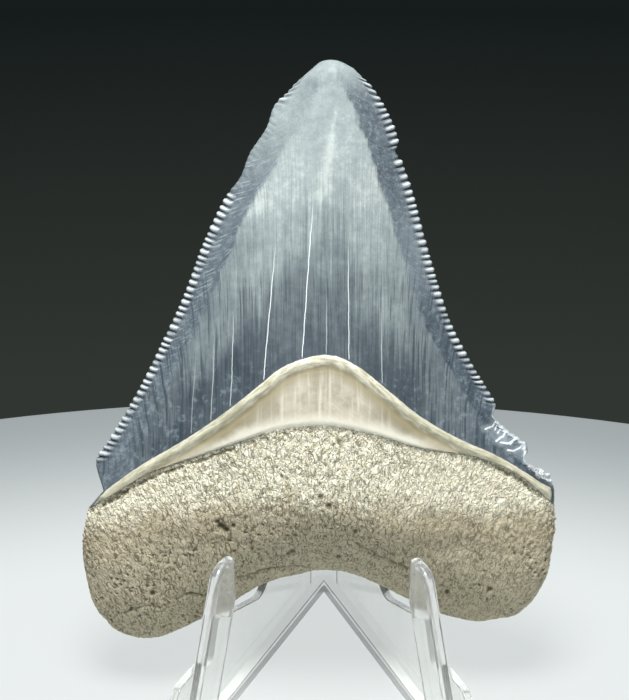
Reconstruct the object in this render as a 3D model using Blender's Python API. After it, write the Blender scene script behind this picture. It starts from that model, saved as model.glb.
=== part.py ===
"""Megalodon tooth leaning back on its clear plastic stand.

Metres, +Z up. The display face of the tooth and the toes of the stand face -Y, the flat underside of the
stand lies on Z = 0, and the origin is under the middle of the whole object.
"""

import math

import bmesh
import bpy
import numpy as np
from mathutils import Matrix, Vector

for item in list(bpy.data.objects):
    bpy.data.objects.remove(item, do_unlink=True)

MM = 0.001

# Tooth outline in millimetres, X across and Z up its own height, square on to the display face.
ROOT_BOTTOM = [(-32.9, 1.9), (-30.6, -0.4), (-27.3, -1.3), (-23.6, -0.9), (-17.3, 1.9), (-12.9, 4.4),
               (-8.8, 6.8), (-4.4, 8.3), (0.0, 8.8), (4.5, 8.2), (8.8, 6.4), (12.5, 4.4), (17.0, 2.3),
               (21.4, 1.3), (25.4, 1.4), (28.5, 2.3), (30.7, 4.3)]
ROOT_LEFT = [(-32.9, 1.9), (-34.8, 6.0), (-35.6, 10.7), (-35.6, 14.5), (-34.7, 18.4)]
ROOT_RIGHT = [(30.7, 4.3), (32.9, 9.3), (33.8, 14.5), (33.9, 17.0), (33.7, 18.8)]
NECK_LEFT = [(-34.7, 18.4), (-32.3, 21.0)]
NECK_RIGHT = [(33.7, 18.8), (33.7, 21.0)]
CROWN_LEFT = [(-32.3, 21.0), (-33.5, 25.1), (-31.6, 28.4), (-27.3, 35.4), (-23.7, 42.5), (-20.4, 49.5),
              (-17.8, 56.5), (-14.5, 63.5), (-12.2, 66.8), (-10.8, 70.3), (-8.5, 73.8), (-7.3, 77.1),
              (-5.4, 78.9), (-3.6, 80.7), (-1.7, 82.3)]
CROWN_RIGHT = [(33.7, 21.0), (32.6, 23.5), (29.4, 25.1), (29.6, 27.6), (26.8, 29.8), (24.7, 31.9),
               (24.8, 33.9), (21.7, 39.0), (18.1, 46.0), (14.8, 56.5), (12.9, 63.5), (11.2, 68.6),
               (10.2, 70.3), (10.5, 72.0), (9.3, 75.4), (7.3, 78.9), (4.1, 82.3)]
TIP_ARC = [(-1.7, 82.3), (-0.7, 83.2), (0.7, 83.5), (2.2, 83.3), (4.1, 82.3)]

# The same sides simplified, for measuring how far out a point is at its height.
LEFT_SIDE = [(-28.0, -4.5), (-33.6, 1.5), (-35.9, 10.3), (-35.8, 15.0), (-34.4, 20.1), (-32.9, 25.7),
             (-27.5, 35.4), (-22.0, 46.0), (-18.0, 56.5), (-12.3, 66.8), (-8.5, 75.0), (-3.5, 82.3)]
RIGHT_SIDE = [(28.0, -4.5), (32.2, 3.8), (34.0, 10.3), (34.2, 16.5), (33.4, 21.1), (30.5, 26.8), (23.8, 35.4),
              (18.3, 46.0), (15.0, 56.5), (11.9, 66.8), (9.5, 75.0), (5.6, 82.3)]

# Borders on the display face: top of the rough root, and top of the smooth band under the enamel.
ROOT_TOP = [(-34.7, 18.4), (-29.7, 21.5), (-25.2, 24.1), (-17.9, 26.9), (-12.1, 29.1), (-6.4, 31.0),
            (0.0, 31.6), (6.4, 30.4), (13.6, 28.1), (22.3, 26.3), (28.3, 23.6), (33.7, 18.8)]
BAND_TOP = [(-32.3, 21.0), (-26.7, 25.1), (-20.8, 28.7), (-15.0, 32.7), (-9.3, 37.3), (-5.7, 40.1),
            (0.0, 41.7), (4.3, 40.2), (8.6, 36.8), (13.6, 32.6), (19.4, 29.1), (25.3, 26.3), (33.7, 21.0)]
# Borders on the back: bottom of the enamel, and a line a little above it.
BACK_ENAMEL = [(-34.7, 18.4), (-24.0, 20.6), (-12.0, 22.4), (0.0, 23.0), (12.0, 22.6), (24.0, 21.0),
               (33.7, 18.8)]
BACK_LOW = [(-32.3, 21.0), (-20.0, 24.6), (0.0, 27.0), (20.0, 24.8), (33.7, 21.0)]

# Thickness of the tooth either side of its middle plane, by height, millimetres.
FRONT_PROFILE = [(0.0, 10.5), (18.5, 10.5), (24.5, 9.8), (30.6, 8.5), (36.0, 7.7), (41.0, 7.2), (58.0, 5.4),
                 (70.0, 3.9), (78.0, 2.7), (84.0, 1.9)]
BACK_PROFILE = [(0.0, 5.6), (12.0, 5.6), (23.0, 5.2), (36.0, 4.7), (58.0, 3.9), (70.0, 3.1), (78.0, 2.4),
                (84.0, 1.8)]
# Fall of the bulge toward the lobes, and how sharp the sides are in section, by height.
LOBE_DROP = 5.2
LOBE_OUT = 22.0
LOBE_THIN = 0.22
FRONT_SHARPNESS = [(0.0, 0.38), (14.0, 0.38), (22.0, 0.62), (29.0, 0.95), (40.0, 1.15), (84.0, 1.15)]
BACK_SHARPNESS = [(0.0, 0.36), (14.0, 0.36), (22.0, 0.6), (30.0, 0.85), (84.0, 0.95)]
# Row of the root at which the bulge begins, by X: below it the face is chamfered under.
BULGE_ROWS = [(-36.0, 0.58), (-28.0, 0.64), (-20.0, 0.66), (-10.0, 0.58), (0.0, 0.53), (10.0, 0.5), (20.0, 0.58),
              (28.0, 0.56), (34.0, 0.48)]
CHAMFER_POWER = 1.45
BACK_ROUND_ROW = 0.24
MARGIN = 0.33
MARGIN_RUN = 0.35
BAND_RIDGE = 0.4
EDGE_REACH = 2.5

# Serrations of the cutting edges.
SERRATIONS = 70
BEAD_OUT = 0.34
BEAD_RIDGE = 0.13

# Pits and the foramen of the root: X, Z, radius, depth, millimetres.
PITS = [(-15.0, 17.0, 1.1, 0.8), (0.4, 20.4, 1.3, 1.0), (-4.6, 12.8, 1.0, 0.7), (1.9, 11.6, 1.0, 0.6),
        (4.4, 16.2, 1.2, 0.6), (17.8, 6.4, 1.1, 0.8), (-23.0, 12.5, 1.2, 0.5), (23.5, 14.0, 1.3, 0.5)]
# Flakes broken from the enamel beside the right root corner: X, Z, radius, depth, millimetres.
FLAKES = [(25.2, 31.4, 2.2, 0.55), (27.6, 28.2, 2.4, 0.7), (30.6, 24.0, 1.8, 0.4)]

# Rows and columns of the faceted surface.
ROOT_ROWS = 15
BAND_ROWS = 4
CROWN_ROWS = 2 * SERRATIONS
ROOT_COLUMNS = 34
BACK_ROOT_COLUMNS = 18
BAND_COLUMNS = 22
CROWN_COLUMNS = 12

# Where the tooth sits: it leans back, a little turned, its own origin this far from the stand's inner corner.
LEAN = math.radians(22.0)
TURN = math.radians(0.8)
TOOTH_SET = (0.0, -23.0, 8.9)

# Stand: two upright walls that spread toward the front from a spine, millimetres.
WALL_SPREAD = math.radians(24.0)
POST_THICK = 1.75
WALL_NEAR = 1.5
WALL_FAR = 2.7
WALL_EDGE = 0.3
POST_EDGE = 0.45
# Wall outline: distance from the inner corner, height, corner radius.
WALL_OUTLINE = [(0.6, 0.0, 0.0), (46.6, 0.0, 0.0), (46.4, 11.4, 2.6), (36.9, 11.0, 1.2), (34.6, 17.2, 0.8),
                (31.0, 14.6, 0.0), (17.9, 10.0, 3.2), (3.5, 45.6, 1.2), (0.6, 45.6, 0.8)]
POST_OUTLINE = [(37.9, 0.0, 0.0), (46.4, 0.0, 0.0), (35.1, 25.0, 2.6), (30.1, 25.0, 1.1), (30.1, 17.6, 2.0)]
RIB_OUTLINE = [(0.4, 0.0, 0.0), (40.0, 0.0, 0.0), (40.0, 2.3, 0.0), (0.4, 2.3, 0.0)]
SPINE_PLAN = [(0.0, 0.0), (0.73, -1.64), (3.2, -0.54), (2.2, 1.8), (1.3, 2.8), (0.0, 3.2)]
SPINE_HEIGHT = 46.0


def curve(points, steps=12):
    """Smooth line through the points, as an array of closely spaced points."""
    knots = np.array(points)
    knots = np.vstack([2 * knots[0] - knots[1], knots, 2 * knots[-1] - knots[-2]])
    line = [knots[1]]
    for a, b, c, d in zip(knots[:-3], knots[1:-2], knots[2:-1], knots[3:]):
        for step in range(1, steps + 1):
            t = step / steps
            bend = 2 * a - 5 * b + 4 * c - d
            twist = 3 * b - a - 3 * c + d
            line.append(0.5 * (2 * b + (c - a) * t + bend * t ** 2 + twist * t ** 3))
    return np.array(line)


def along(line, part):
    """Point of a line at a part of its length, 0 to 1."""
    run = np.concatenate([[0.0], np.cumsum(np.linalg.norm(np.diff(line, axis=0), axis=1))])
    at = part * run[-1]
    return np.array([np.interp(at, run, line[:, 0]), np.interp(at, run, line[:, 1])])


def eased(line, passes=250):
    """The same line with its small notches and bumps taken out, its ends kept."""
    part = np.linspace(0.0, 1.0, 161)
    smooth = np.array([along(line, p) for p in part])
    for _ in range(passes):
        smooth[1:-1] = (smooth[:-2] + 2 * smooth[1:-1] + smooth[2:]) / 4
    return smooth


def patch(bottom, top, left, right, across, up):
    """Points of one row of a face patch bounded by four lines: across holds 0 to 1 positions."""
    start = along(EASED[left], up)
    end = along(EASED[right], up)
    low = np.interp(bottom[0][0] + across * (bottom[-1][0] - bottom[0][0]), bottom[:, 0], bottom[:, 1])
    high = np.interp(top[0][0] + across * (top[-1][0] - top[0][0]), top[:, 0], top[:, 1])
    x = (1 - across) * start[0] + across * end[0]
    z = (1 - up) * low + up * high + (1 - across) * start[1] + across * end[1]
    z -= (1 - up) * ((1 - across) * low[0] + across * low[-1])
    z -= up * ((1 - across) * high[0] + across * high[-1])
    # The notches of the real outline only show close to it.
    width = end[0] - start[0]
    near_left = np.exp(-across * width / EDGE_REACH)
    near_right = np.exp(-(1 - across) * width / EDGE_REACH)
    slip_left = along(LINES[left], up) - start
    slip_right = along(LINES[right], up) - end
    x = x + near_left * slip_left[0] + near_right * slip_right[0]
    z = z + near_left * slip_left[1] + near_right * slip_right[1]
    return x, z


def crown_columns(count, width):
    """Positions across a crown row, the outer two kept beside the cutting edges."""
    first = min(0.9 / width, 0.08)
    second = min(2.6 / width, 0.2)
    inner = np.linspace(second, 1 - second, count - 3)
    return np.concatenate([[0.0, first], inner, [1 - first, 1.0]])


def root_columns(count):
    """Positions across a root row, closer together at the rounded sides."""
    even = np.linspace(-1.0, 1.0, count + 1)
    return 0.5 + 0.5 * np.sign(even) * (1 - (1 - np.abs(even)) ** 1.35)


def table(points, at):
    """Value read off a smooth line through (place, value) points."""
    line = curve(points)
    return np.interp(at, line[:, 0], line[:, 1])


def side_position(x, z):
    """How far out a point is between the outlines at its height: -1 left, 0 middle, 1 right."""
    left = np.interp(z, SIDES[0][:, 1], SIDES[0][:, 0])
    right = np.interp(z, SIDES[1][:, 1], SIDES[1][:, 0])
    return (2 * x - left - right) / (right - left)


def rounded_in(distance, radius, power=2.0):
    """Rise of a rounded side, 0 at the outline to 1 at the radius and beyond."""
    t = np.clip(distance / radius, 0, 1)
    return (1 - (1 - t) ** power) ** (1 / power)


def margin(across, width):
    """Thickness of the cutting edge itself, close to the outline."""
    inset = np.minimum(across, 1 - across) * width * 0.85
    return MARGIN * (1 - np.exp(-inset / MARGIN_RUN))


def front_depth(x, z):
    """Depth of the display face: lens-shaped crown, full rounded root whose bulge is lower at the lobes."""
    low = LOBE_DROP * np.minimum((x / LOBE_OUT) ** 2, 1.8) * np.clip((46 - z) / 20, 0, 1)
    w = side_position(x, z)
    lobe = 1 - LOBE_THIN * (1 - np.exp(-(w / 0.36) ** 2)) * np.clip((36 - z) / 12, 0, 1)
    return lobe * table(FRONT_PROFILE, z + low) * np.maximum(0, 1 - w ** 2) ** table(FRONT_SHARPNESS, z)


def back_depth(x, z):
    """Depth of the back, which is flatter."""
    w = side_position(x, z)
    return table(BACK_PROFILE, z) * np.maximum(0, 1 - np.abs(w) ** 2.2) ** table(BACK_SHARPNESS, z)


def tip_round(up):
    """Rounds the last of the crown over at the tip."""
    return math.sqrt(max(0.0, 1 - max(0.0, (up - 0.93) / 0.07) ** 2))


def dents(x, z, marks):
    """Depth taken out of the surface by round marks."""
    cut = np.zeros_like(x)
    for at_x, at_z, radius, depth in marks:
        cut += depth * np.exp(-((x - at_x) ** 2 + (z - at_z) ** 2) / radius ** 2)
    return cut


def bead_height(z, side):
    """How much of the serration is left at a height on the left (0) or right (1) cutting edge."""
    if side == 0:
        return float(np.interp(z, [24.6, 26.2, 64.0, 65.5, 77.0, 78.0, 80.0, 81.0],
                               [0.0, 1.0, 1.0, 0.15, 0.15, 0.6, 0.6, 0.0]))
    return float(np.interp(z, [33.0, 34.4, 69.2, 70.0, 70.8, 71.4, 80.4, 81.2],
                           [0.25, 1.0, 1.0, 0.2, 0.2, 1.0, 1.0, 0.0]))


LINES = {name: curve(points) for name, points in (
    ("bottom", ROOT_BOTTOM), ("root_left", ROOT_LEFT), ("root_right", ROOT_RIGHT),
    ("neck_left", NECK_LEFT), ("neck_right", NECK_RIGHT), ("crown_left", CROWN_LEFT),
    ("crown_right", CROWN_RIGHT), ("tip", TIP_ARC), ("root_top", ROOT_TOP), ("band_top", BAND_TOP),
    ("back_enamel", BACK_ENAMEL), ("back_low", BACK_LOW))}
EASED = {name: eased(line) for name, line in LINES.items()}
SIDES = [curve(LEFT_SIDE), curve(RIGHT_SIDE)]


def root_row(up, count, top):
    """Places of one row of the root on one face."""
    across = root_columns(count)
    x, z = patch(LINES["bottom"], LINES[top], "root_left", "root_right", across, up)
    return across, x, z


def neck_row(up, count, low, high):
    """Places of one row between the root and the crown on one face."""
    width = along(LINES["neck_right"], up)[0] - along(LINES["neck_left"], up)[0]
    across = crown_columns(count, width)
    x, z = patch(LINES[low], LINES[high], "neck_left", "neck_right", across, up)
    return across, x, z


def crown_row(step, base, depth):
    """One row of the crown on one face, with its serrations."""
    up = step / CROWN_ROWS
    start = along(LINES["crown_left"], up)
    end = along(LINES["crown_right"], up)
    across = crown_columns(CROWN_COLUMNS, end[0] - start[0])
    x, z = patch(LINES[base], LINES["tip"], "crown_left", "crown_right", across, up)
    y = (depth(x, z) + margin(across, end[0] - start[0])) * tip_round(up)
    wave = 1.0 if step % 2 else -1.0
    left = bead_height(start[1], 0)
    right = bead_height(end[1], 1)
    if 0 < step < CROWN_ROWS:
        x[0] -= left * wave * BEAD_OUT / 2
        x[-1] += right * wave * BEAD_OUT / 2
        y[1] += left * wave * BEAD_RIDGE
        y[-2] += right * wave * BEAD_RIDGE
    return across, x, z, y


def front_rows():
    """Rows of the display face from the bottom of the root to the tip: across, X, Z, depth."""
    noise = np.random.default_rng(11)
    rows = []
    for step in range(ROOT_ROWS + 1):
        up = (step / ROOT_ROWS) ** 1.25
        across, x, z = root_row(up, ROOT_COLUMNS, "root_top")
        y = front_depth(x, z) * rounded_in(up, table(BULGE_ROWS, x), CHAMFER_POWER)
        rough = np.clip((y - 1.0) / 2.0, 0, 1)
        y = y - (dents(x, z, PITS) + noise.uniform(-0.16, 0.16, len(y))) * rough
        rows.append((across, x, z, y))
    for step in range(1, BAND_ROWS):
        up = step / BAND_ROWS
        across, x, z = neck_row(up, BAND_COLUMNS, "root_top", "band_top")
        ridge = BAND_RIDGE * (step == BAND_ROWS - 1) - 0.3 * (step == 1)
        inner = np.minimum(1.0, np.minimum(across, 1 - across) * 12)
        rows.append((across, x, z, front_depth(x, z) + margin(across, x[-1] - x[0]) + ridge * inner))
    for step in range(CROWN_ROWS + 1):
        across, x, z, y = crown_row(step, "band_top", front_depth)
        rows.append((across, x, z, y - dents(x, z, FLAKES) * (y > 0.1)))
    return rows


def back_rows():
    """Rows of the back from the bottom of the root to the tip: across, X, Z, depth."""
    noise = np.random.default_rng(12)
    rows = []
    for step in range(ROOT_ROWS + 1):
        up = (step / ROOT_ROWS) ** 1.25
        across, x, z = root_row(up, BACK_ROOT_COLUMNS, "back_enamel")
        y = back_depth(x, z) * rounded_in(up, BACK_ROUND_ROW)
        rows.append((across, x, z, y + noise.uniform(-0.12, 0.12, len(y)) * (y > 1.5)))
    for step in range(1, BAND_ROWS):
        across, x, z = neck_row(step / BAND_ROWS, CROWN_COLUMNS, "back_enamel", "back_low")
        rows.append((across, x, z, back_depth(x, z) + margin(across, x[-1] - x[0])))
    for step in range(CROWN_ROWS + 1):
        rows.append(crown_row(step, "back_low", back_depth))
    return rows


def ribbon(lower, upper, shared=""):
    """Triangles between two rows, each a list of (position across, vertex number).

    Where one of the rows is shared by both faces, no triangle has all its corners on the outline.
    """
    faces = []
    i = 0
    j = 0
    ends = (len(lower) - 1, len(upper) - 1)
    while (i, j) != ends:
        lower_next = lower[i][0] + lower[i + 1][0] if i < ends[0] else 9.0
        upper_next = upper[j][0] + upper[j + 1][0] if j < ends[1] else 9.0
        take_lower = lower_next <= upper_next
        if shared == "lower" and i < ends[0]:
            take_lower = (take_lower or j == ends[1] - 1) and j > 0
        if shared == "upper" and j < ends[1]:
            take_lower = i == 0 or (take_lower and i < ends[0] - 1)
        if take_lower:
            faces.append((lower[i][1], lower[i + 1][1], upper[j][1]))
            i += 1
        else:
            faces.append((lower[i][1], upper[j + 1][1], upper[j][1]))
            j += 1
    return faces


def tooth_place():
    """Turns and moves the tooth from its own frame to its place against the stand."""
    lean = Matrix.Translation(Vector(TOOTH_SET) * MM) @ Matrix.Rotation(-LEAN, 4, "X")
    return Matrix.Rotation(TURN, 4, "Z") @ lean


def make_tooth():
    """The whole tooth as one closed surface."""
    points = []
    faces = []
    front = front_rows()
    back = back_rows()
    last = len(front) - 1
    numbered = {"front": [], "back": []}
    for number, row in enumerate(front):
        across, x, z, y = row
        numbered["front"].append([(float(a), len(points) + k) for k, a in enumerate(across)])
        sides = (0, len(x) - 1)
        shared = number in (0, last)
        points += [(px, 0.0 if shared or k in sides else -py, pz) for k, (px, py, pz) in enumerate(zip(x, y, z))]
    for number, row in enumerate(back):
        ends = numbered["front"][number]
        if number in (0, last):
            numbered["back"].append(ends)
            continue
        across, x, z, y = row
        inner = [(float(across[k]), len(points) + k - 1) for k in range(1, len(across) - 1)]
        numbered["back"].append([ends[0]] + inner + [ends[-1]])
        points += [(x[k], y[k], z[k]) for k in range(1, len(across) - 1)]
    for number in range(last):
        shared = {0: "lower", last - 1: "upper"}.get(number, "")
        faces += ribbon(numbered["front"][number], numbered["front"][number + 1], shared)
        turned = ribbon(numbered["back"][number], numbered["back"][number + 1], shared)
        faces += [face[::-1] for face in turned]
    mesh = bpy.data.meshes.new("tooth")
    mesh.from_pydata([(x * MM, y * MM, z * MM) for x, y, z in points], [], faces)
    mesh.transform(tooth_place())
    mesh.validate()
    body = bpy.data.objects.new("tooth", mesh)
    bpy.context.scene.collection.objects.link(body)
    return body


def rounded_outline(corners, inset=0.0, steps=4):
    """Outline with rounded corners, from (along, up, radius) corners, drawn in by an inset above the table."""
    outline = []
    for number, (x, y, radius) in enumerate(corners):
        corner = Vector((x, y))
        before = (Vector(corners[number - 1][:2]) - corner).normalized()
        after = (Vector(corners[(number + 1) % len(corners)][:2]) - corner).normalized()
        half = before.angle(after) / 2
        inward = (before + after).normalized()
        turn = 1.0 if before.x * after.y - before.y * after.x < 0 else -1.0
        middle = corner + inward * radius / math.sin(half)
        if radius == 0.0:
            spot = corner + inward * turn * inset / math.sin(half)
            outline.append(Vector((spot.x, 0.0)) if y == 0.0 else spot)
            continue
        bend = max(radius - turn * inset, 0.05)
        middle += inward * (bend - radius + turn * inset) / math.sin(half)
        reach = bend / math.tan(half)
        start = before * reach - inward * bend / math.sin(half)
        sweep = (math.pi - 2 * half) * -turn
        for step in range(steps + 1):
            angle = -sweep * step / steps
            arm = Vector((start.x * math.cos(angle) - start.y * math.sin(angle),
                          start.x * math.sin(angle) + start.y * math.cos(angle)))
            outline.append(middle + arm)
    return outline


def slab(name, corners, near, far, side, edge):
    """Plate standing in a wall's plane, between two distances out from its inner face, edges eased."""
    forward = Vector((side * math.sin(WALL_SPREAD), -math.cos(WALL_SPREAD), 0.0))
    outward = Vector((side * math.cos(WALL_SPREAD), math.sin(WALL_SPREAD), 0.0))
    full = rounded_outline(corners)
    eased = rounded_outline(corners, edge)
    work = bmesh.new()
    loops = []
    for outline, offset in ((eased, near), (full, near + edge), (full, far - edge), (eased, far)):
        spots = [forward * spot.x + outward * offset + Vector((0.0, 0.0, spot.y)) for spot in outline]
        loops.append([work.verts.new(spot * MM) for spot in spots])
    work.faces.new(loops[0])
    work.faces.new(loops[3][::-1])
    for low, high in zip(loops[:-1], loops[1:]):
        for k in range(len(low)):
            n = (k + 1) % len(low)
            work.faces.new((low[k], high[k], high[n], low[n]))
    bmesh.ops.recalc_face_normals(work, faces=work.faces)
    return finish(name, work)


def spine(name):
    """Upright bar where the two walls meet."""
    right = SPINE_PLAN
    left = [(-x, y) for x, y in SPINE_PLAN[-2:0:-1]]
    plan = right + left
    work = bmesh.new()
    low = [work.verts.new(Vector((x, y, 0.0)) * MM) for x, y in plan]
    high = [work.verts.new(Vector((x, y, SPINE_HEIGHT)) * MM) for x, y in plan]
    work.faces.new(low)
    top = work.faces.new(high)
    for k in range(len(plan)):
        n = (k + 1) % len(plan)
        work.faces.new((low[k], low[n], high[n], high[k]))
    bmesh.ops.recalc_face_normals(work, faces=work.faces)
    bmesh.ops.bevel(work, geom=list(top.edges), offset=0.5 * MM, segments=1, profile=0.5, affect="EDGES")
    return finish(name, work)


def finish(name, work):
    """Turns a working mesh into a scene object."""
    mesh = bpy.data.meshes.new(name)
    work.to_mesh(mesh)
    work.free()
    body = bpy.data.objects.new(name, mesh)
    bpy.context.scene.collection.objects.link(body)
    return body


def make_stand():
    """The stand as one moulding: spine, two walls with toes, two posts with prongs, two bottom ribs."""
    body = spine("stand")
    pieces = []
    for side, word in ((-1, "left"), (1, "right")):
        pieces.append(slab("wall_" + word, WALL_OUTLINE, WALL_NEAR, WALL_FAR, side, WALL_EDGE))
        pieces.append(slab("post_" + word, POST_OUTLINE, 0.0, POST_THICK, side, POST_EDGE))
        pieces.append(slab("rib_" + word, RIB_OUTLINE, 0.1, POST_THICK + 0.1, side, POST_EDGE))
    for piece in pieces:
        piece.hide_render = True
        piece.display_type = "WIRE"
        join = body.modifiers.new("join_" + piece.name, "BOOLEAN")
        join.operation = "UNION"
        join.solver = "EXACT"
        join.object = piece
    return body, pieces


def material(name, colour, roughness, transmission=0.0):
    """Plain surface material."""
    skin = bpy.data.materials.new(name)
    skin.use_nodes = True
    shader = skin.node_tree.nodes["Principled BSDF"]
    shader.inputs["Base Color"].default_value = (*colour, 1.0)
    shader.inputs["Roughness"].default_value = roughness
    shader.inputs["Transmission Weight"].default_value = transmission
    return skin


tooth = make_tooth()
stand, joined = make_stand()

# The origin goes under the middle of the whole object.
spots = [vertex.co for body in [tooth, stand] + joined for vertex in body.data.vertices]
low = Vector([min(spot[axis] for spot in spots) for axis in range(3)])
high = Vector([max(spot[axis] for spot in spots) for axis in range(3)])
shift = Matrix.Translation((-(low.x + high.x) / 2, -(low.y + high.y) / 2, -low.z))
for body in [tooth, stand] + joined:
    body.data.transform(shift)

tooth.data.materials.append(material("fossil_tooth", (0.42, 0.45, 0.47), 0.45))
stand.data.materials.append(material("clear_plastic", (0.92, 0.95, 0.95), 0.08, 0.9))
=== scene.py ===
"""Looks of the megalodon tooth on its clear plastic stand: fine surfaces, materials, table, light and camera."""
import math

import bmesh
import bpy
import numpy as np
from mathutils import Matrix, Vector


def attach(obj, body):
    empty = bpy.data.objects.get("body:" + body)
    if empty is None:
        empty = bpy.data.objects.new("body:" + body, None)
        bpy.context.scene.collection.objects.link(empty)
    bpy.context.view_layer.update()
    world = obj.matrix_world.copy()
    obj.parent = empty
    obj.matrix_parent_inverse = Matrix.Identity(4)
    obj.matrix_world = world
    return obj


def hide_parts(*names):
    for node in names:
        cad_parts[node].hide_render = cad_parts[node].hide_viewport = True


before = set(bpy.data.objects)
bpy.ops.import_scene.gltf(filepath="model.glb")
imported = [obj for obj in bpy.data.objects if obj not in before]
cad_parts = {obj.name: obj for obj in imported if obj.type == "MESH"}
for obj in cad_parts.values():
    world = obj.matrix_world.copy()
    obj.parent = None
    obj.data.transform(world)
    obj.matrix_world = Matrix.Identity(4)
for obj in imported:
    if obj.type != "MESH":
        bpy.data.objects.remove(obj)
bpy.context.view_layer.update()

MM = 0.001

# ---------------------------------------------------------------- shape values shared with the solids, millimetres
ROOT_BOTTOM = [(-32.9, 1.9), (-30.6, -0.4), (-27.3, -1.3), (-23.6, -0.9), (-17.3, 1.9), (-12.9, 4.4),
               (-8.8, 6.8), (-4.4, 8.3), (0.0, 8.8), (4.5, 8.2), (8.8, 6.4), (12.5, 4.4), (17.0, 2.3),
               (21.4, 1.3), (25.4, 1.4), (28.5, 2.3), (30.7, 4.3)]
ROOT_LEFT = [(-32.9, 1.9), (-34.8, 6.0), (-35.6, 10.7), (-35.6, 14.5), (-34.7, 18.4)]
ROOT_RIGHT = [(30.7, 4.3), (32.9, 9.3), (33.8, 14.5), (33.9, 17.0), (33.7, 18.8)]
NECK_LEFT = [(-34.7, 18.4), (-32.3, 21.0)]
NECK_RIGHT = [(33.7, 18.8), (33.7, 21.0)]
CROWN_LEFT = [(-32.3, 21.0), (-33.5, 25.1), (-31.6, 28.4), (-27.3, 35.4), (-23.7, 42.5), (-20.4, 49.5),
              (-17.8, 56.5), (-14.5, 63.5), (-12.2, 66.8), (-10.8, 70.3), (-8.5, 73.8), (-7.3, 77.1),
              (-5.4, 78.9), (-3.6, 80.7), (-1.7, 82.3)]
CROWN_RIGHT = [(33.7, 21.0), (32.6, 23.5), (29.4, 25.1), (29.6, 27.6), (26.8, 29.8), (24.7, 31.9),
               (24.8, 33.9), (21.7, 39.0), (18.1, 46.0), (14.8, 56.5), (12.9, 63.5), (11.2, 68.6),
               (10.2, 70.3), (10.5, 72.0), (9.3, 75.4), (7.3, 78.9), (4.1, 82.3)]
TIP_ARC = [(-1.7, 82.3), (-0.7, 83.2), (0.7, 83.5), (2.2, 83.3), (4.1, 82.3)]
LEFT_SIDE = [(-28.0, -4.5), (-33.6, 1.5), (-35.9, 10.3), (-35.8, 15.0), (-34.4, 20.1), (-32.9, 25.7),
             (-27.5, 35.4), (-22.0, 46.0), (-18.0, 56.5), (-12.3, 66.8), (-8.5, 75.0), (-3.5, 82.3)]
RIGHT_SIDE = [(28.0, -4.5), (32.2, 3.8), (34.0, 10.3), (34.2, 16.5), (33.4, 21.1), (30.5, 26.8), (23.8, 35.4),
              (18.3, 46.0), (15.0, 56.5), (11.9, 66.8), (9.5, 75.0), (5.6, 82.3)]
ROOT_TOP = [(-34.7, 18.4), (-29.7, 21.5), (-25.2, 24.1), (-17.9, 26.9), (-12.1, 29.1), (-6.4, 31.0),
            (0.0, 31.6), (6.4, 30.4), (13.6, 28.1), (22.3, 26.3), (28.3, 23.6), (33.7, 18.8)]
BAND_TOP = [(-32.3, 21.0), (-26.7, 25.1), (-20.8, 28.7), (-15.0, 32.7), (-9.3, 37.3), (-5.7, 40.1),
            (0.0, 41.7), (4.3, 40.2), (8.6, 36.8), (13.6, 32.6), (19.4, 29.1), (25.3, 26.3), (33.7, 21.0)]
BACK_ENAMEL = [(-34.7, 18.4), (-24.0, 20.6), (-12.0, 22.4), (0.0, 23.0), (12.0, 22.6), (24.0, 21.0),
               (33.7, 18.8)]
BACK_LOW = [(-32.3, 21.0), (-20.0, 24.6), (0.0, 27.0), (20.0, 24.8), (33.7, 21.0)]
FRONT_PROFILE = [(0.0, 10.5), (18.5, 10.5), (24.5, 9.8), (30.6, 8.5), (36.0, 7.7), (41.0, 7.2), (58.0, 5.4),
                 (70.0, 3.9), (78.0, 2.7), (84.0, 1.9)]
BACK_PROFILE = [(0.0, 5.6), (12.0, 5.6), (23.0, 5.2), (36.0, 4.7), (58.0, 3.9), (70.0, 3.1), (78.0, 2.4),
                (84.0, 1.8)]
LOBE_DROP = 5.2
LOBE_OUT = 22.0
LOBE_THIN = 0.22
FRONT_SHARPNESS = [(0.0, 0.38), (14.0, 0.38), (22.0, 0.62), (29.0, 0.95), (40.0, 1.15), (84.0, 1.15)]
BACK_SHARPNESS = [(0.0, 0.36), (14.0, 0.36), (22.0, 0.6), (30.0, 0.85), (84.0, 0.95)]
BULGE_ROWS = [(-36.0, 0.58), (-28.0, 0.64), (-20.0, 0.66), (-10.0, 0.58), (0.0, 0.53), (10.0, 0.5), (20.0, 0.58),
              (28.0, 0.56), (34.0, 0.48)]
CHAMFER_POWER = 1.45
BACK_ROUND_ROW = 0.24
MARGIN = 0.33
EDGE_REACH = 2.5
LEAN = math.radians(22.0)
TURN = math.radians(0.8)
TOOTH_SET = (0.0, -23.0, 8.9)
# From the stand's inner corner to the middle of the whole object.
ORIGIN_SHIFT = (0.648, 16.3086, 0.0)

WALL_SPREAD = math.radians(24.0)
POST_THICK = 1.75
WALL_NEAR = 1.5
WALL_FAR = 2.7
WALL_EDGE = 0.15
POST_EDGE = 0.7
WALL_OUTLINE = [(0.6, 0.0, 0.0), (46.6, 0.0, 0.0), (46.4, 11.4, 2.6), (36.9, 11.0, 1.2), (34.6, 17.2, 0.8),
                (31.0, 14.6, 0.0), (17.9, 10.0, 3.2), (3.5, 45.6, 1.2), (0.6, 45.6, 0.8)]
POST_OUTLINE = [(37.9, 0.0, 0.0), (46.4, 0.0, 0.0), (35.1, 25.0, 2.6), (30.1, 25.0, 1.1), (30.1, 17.6, 2.0)]
RIB_HEIGHT = 2.1
RIB_EDGE = 0.15
RIB_OUTLINE = [(0.4, 0.0, 0.0), (40.0, 0.0, 0.0), (40.0, RIB_HEIGHT, 0.0), (0.4, RIB_HEIGHT, 0.0)]
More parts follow.
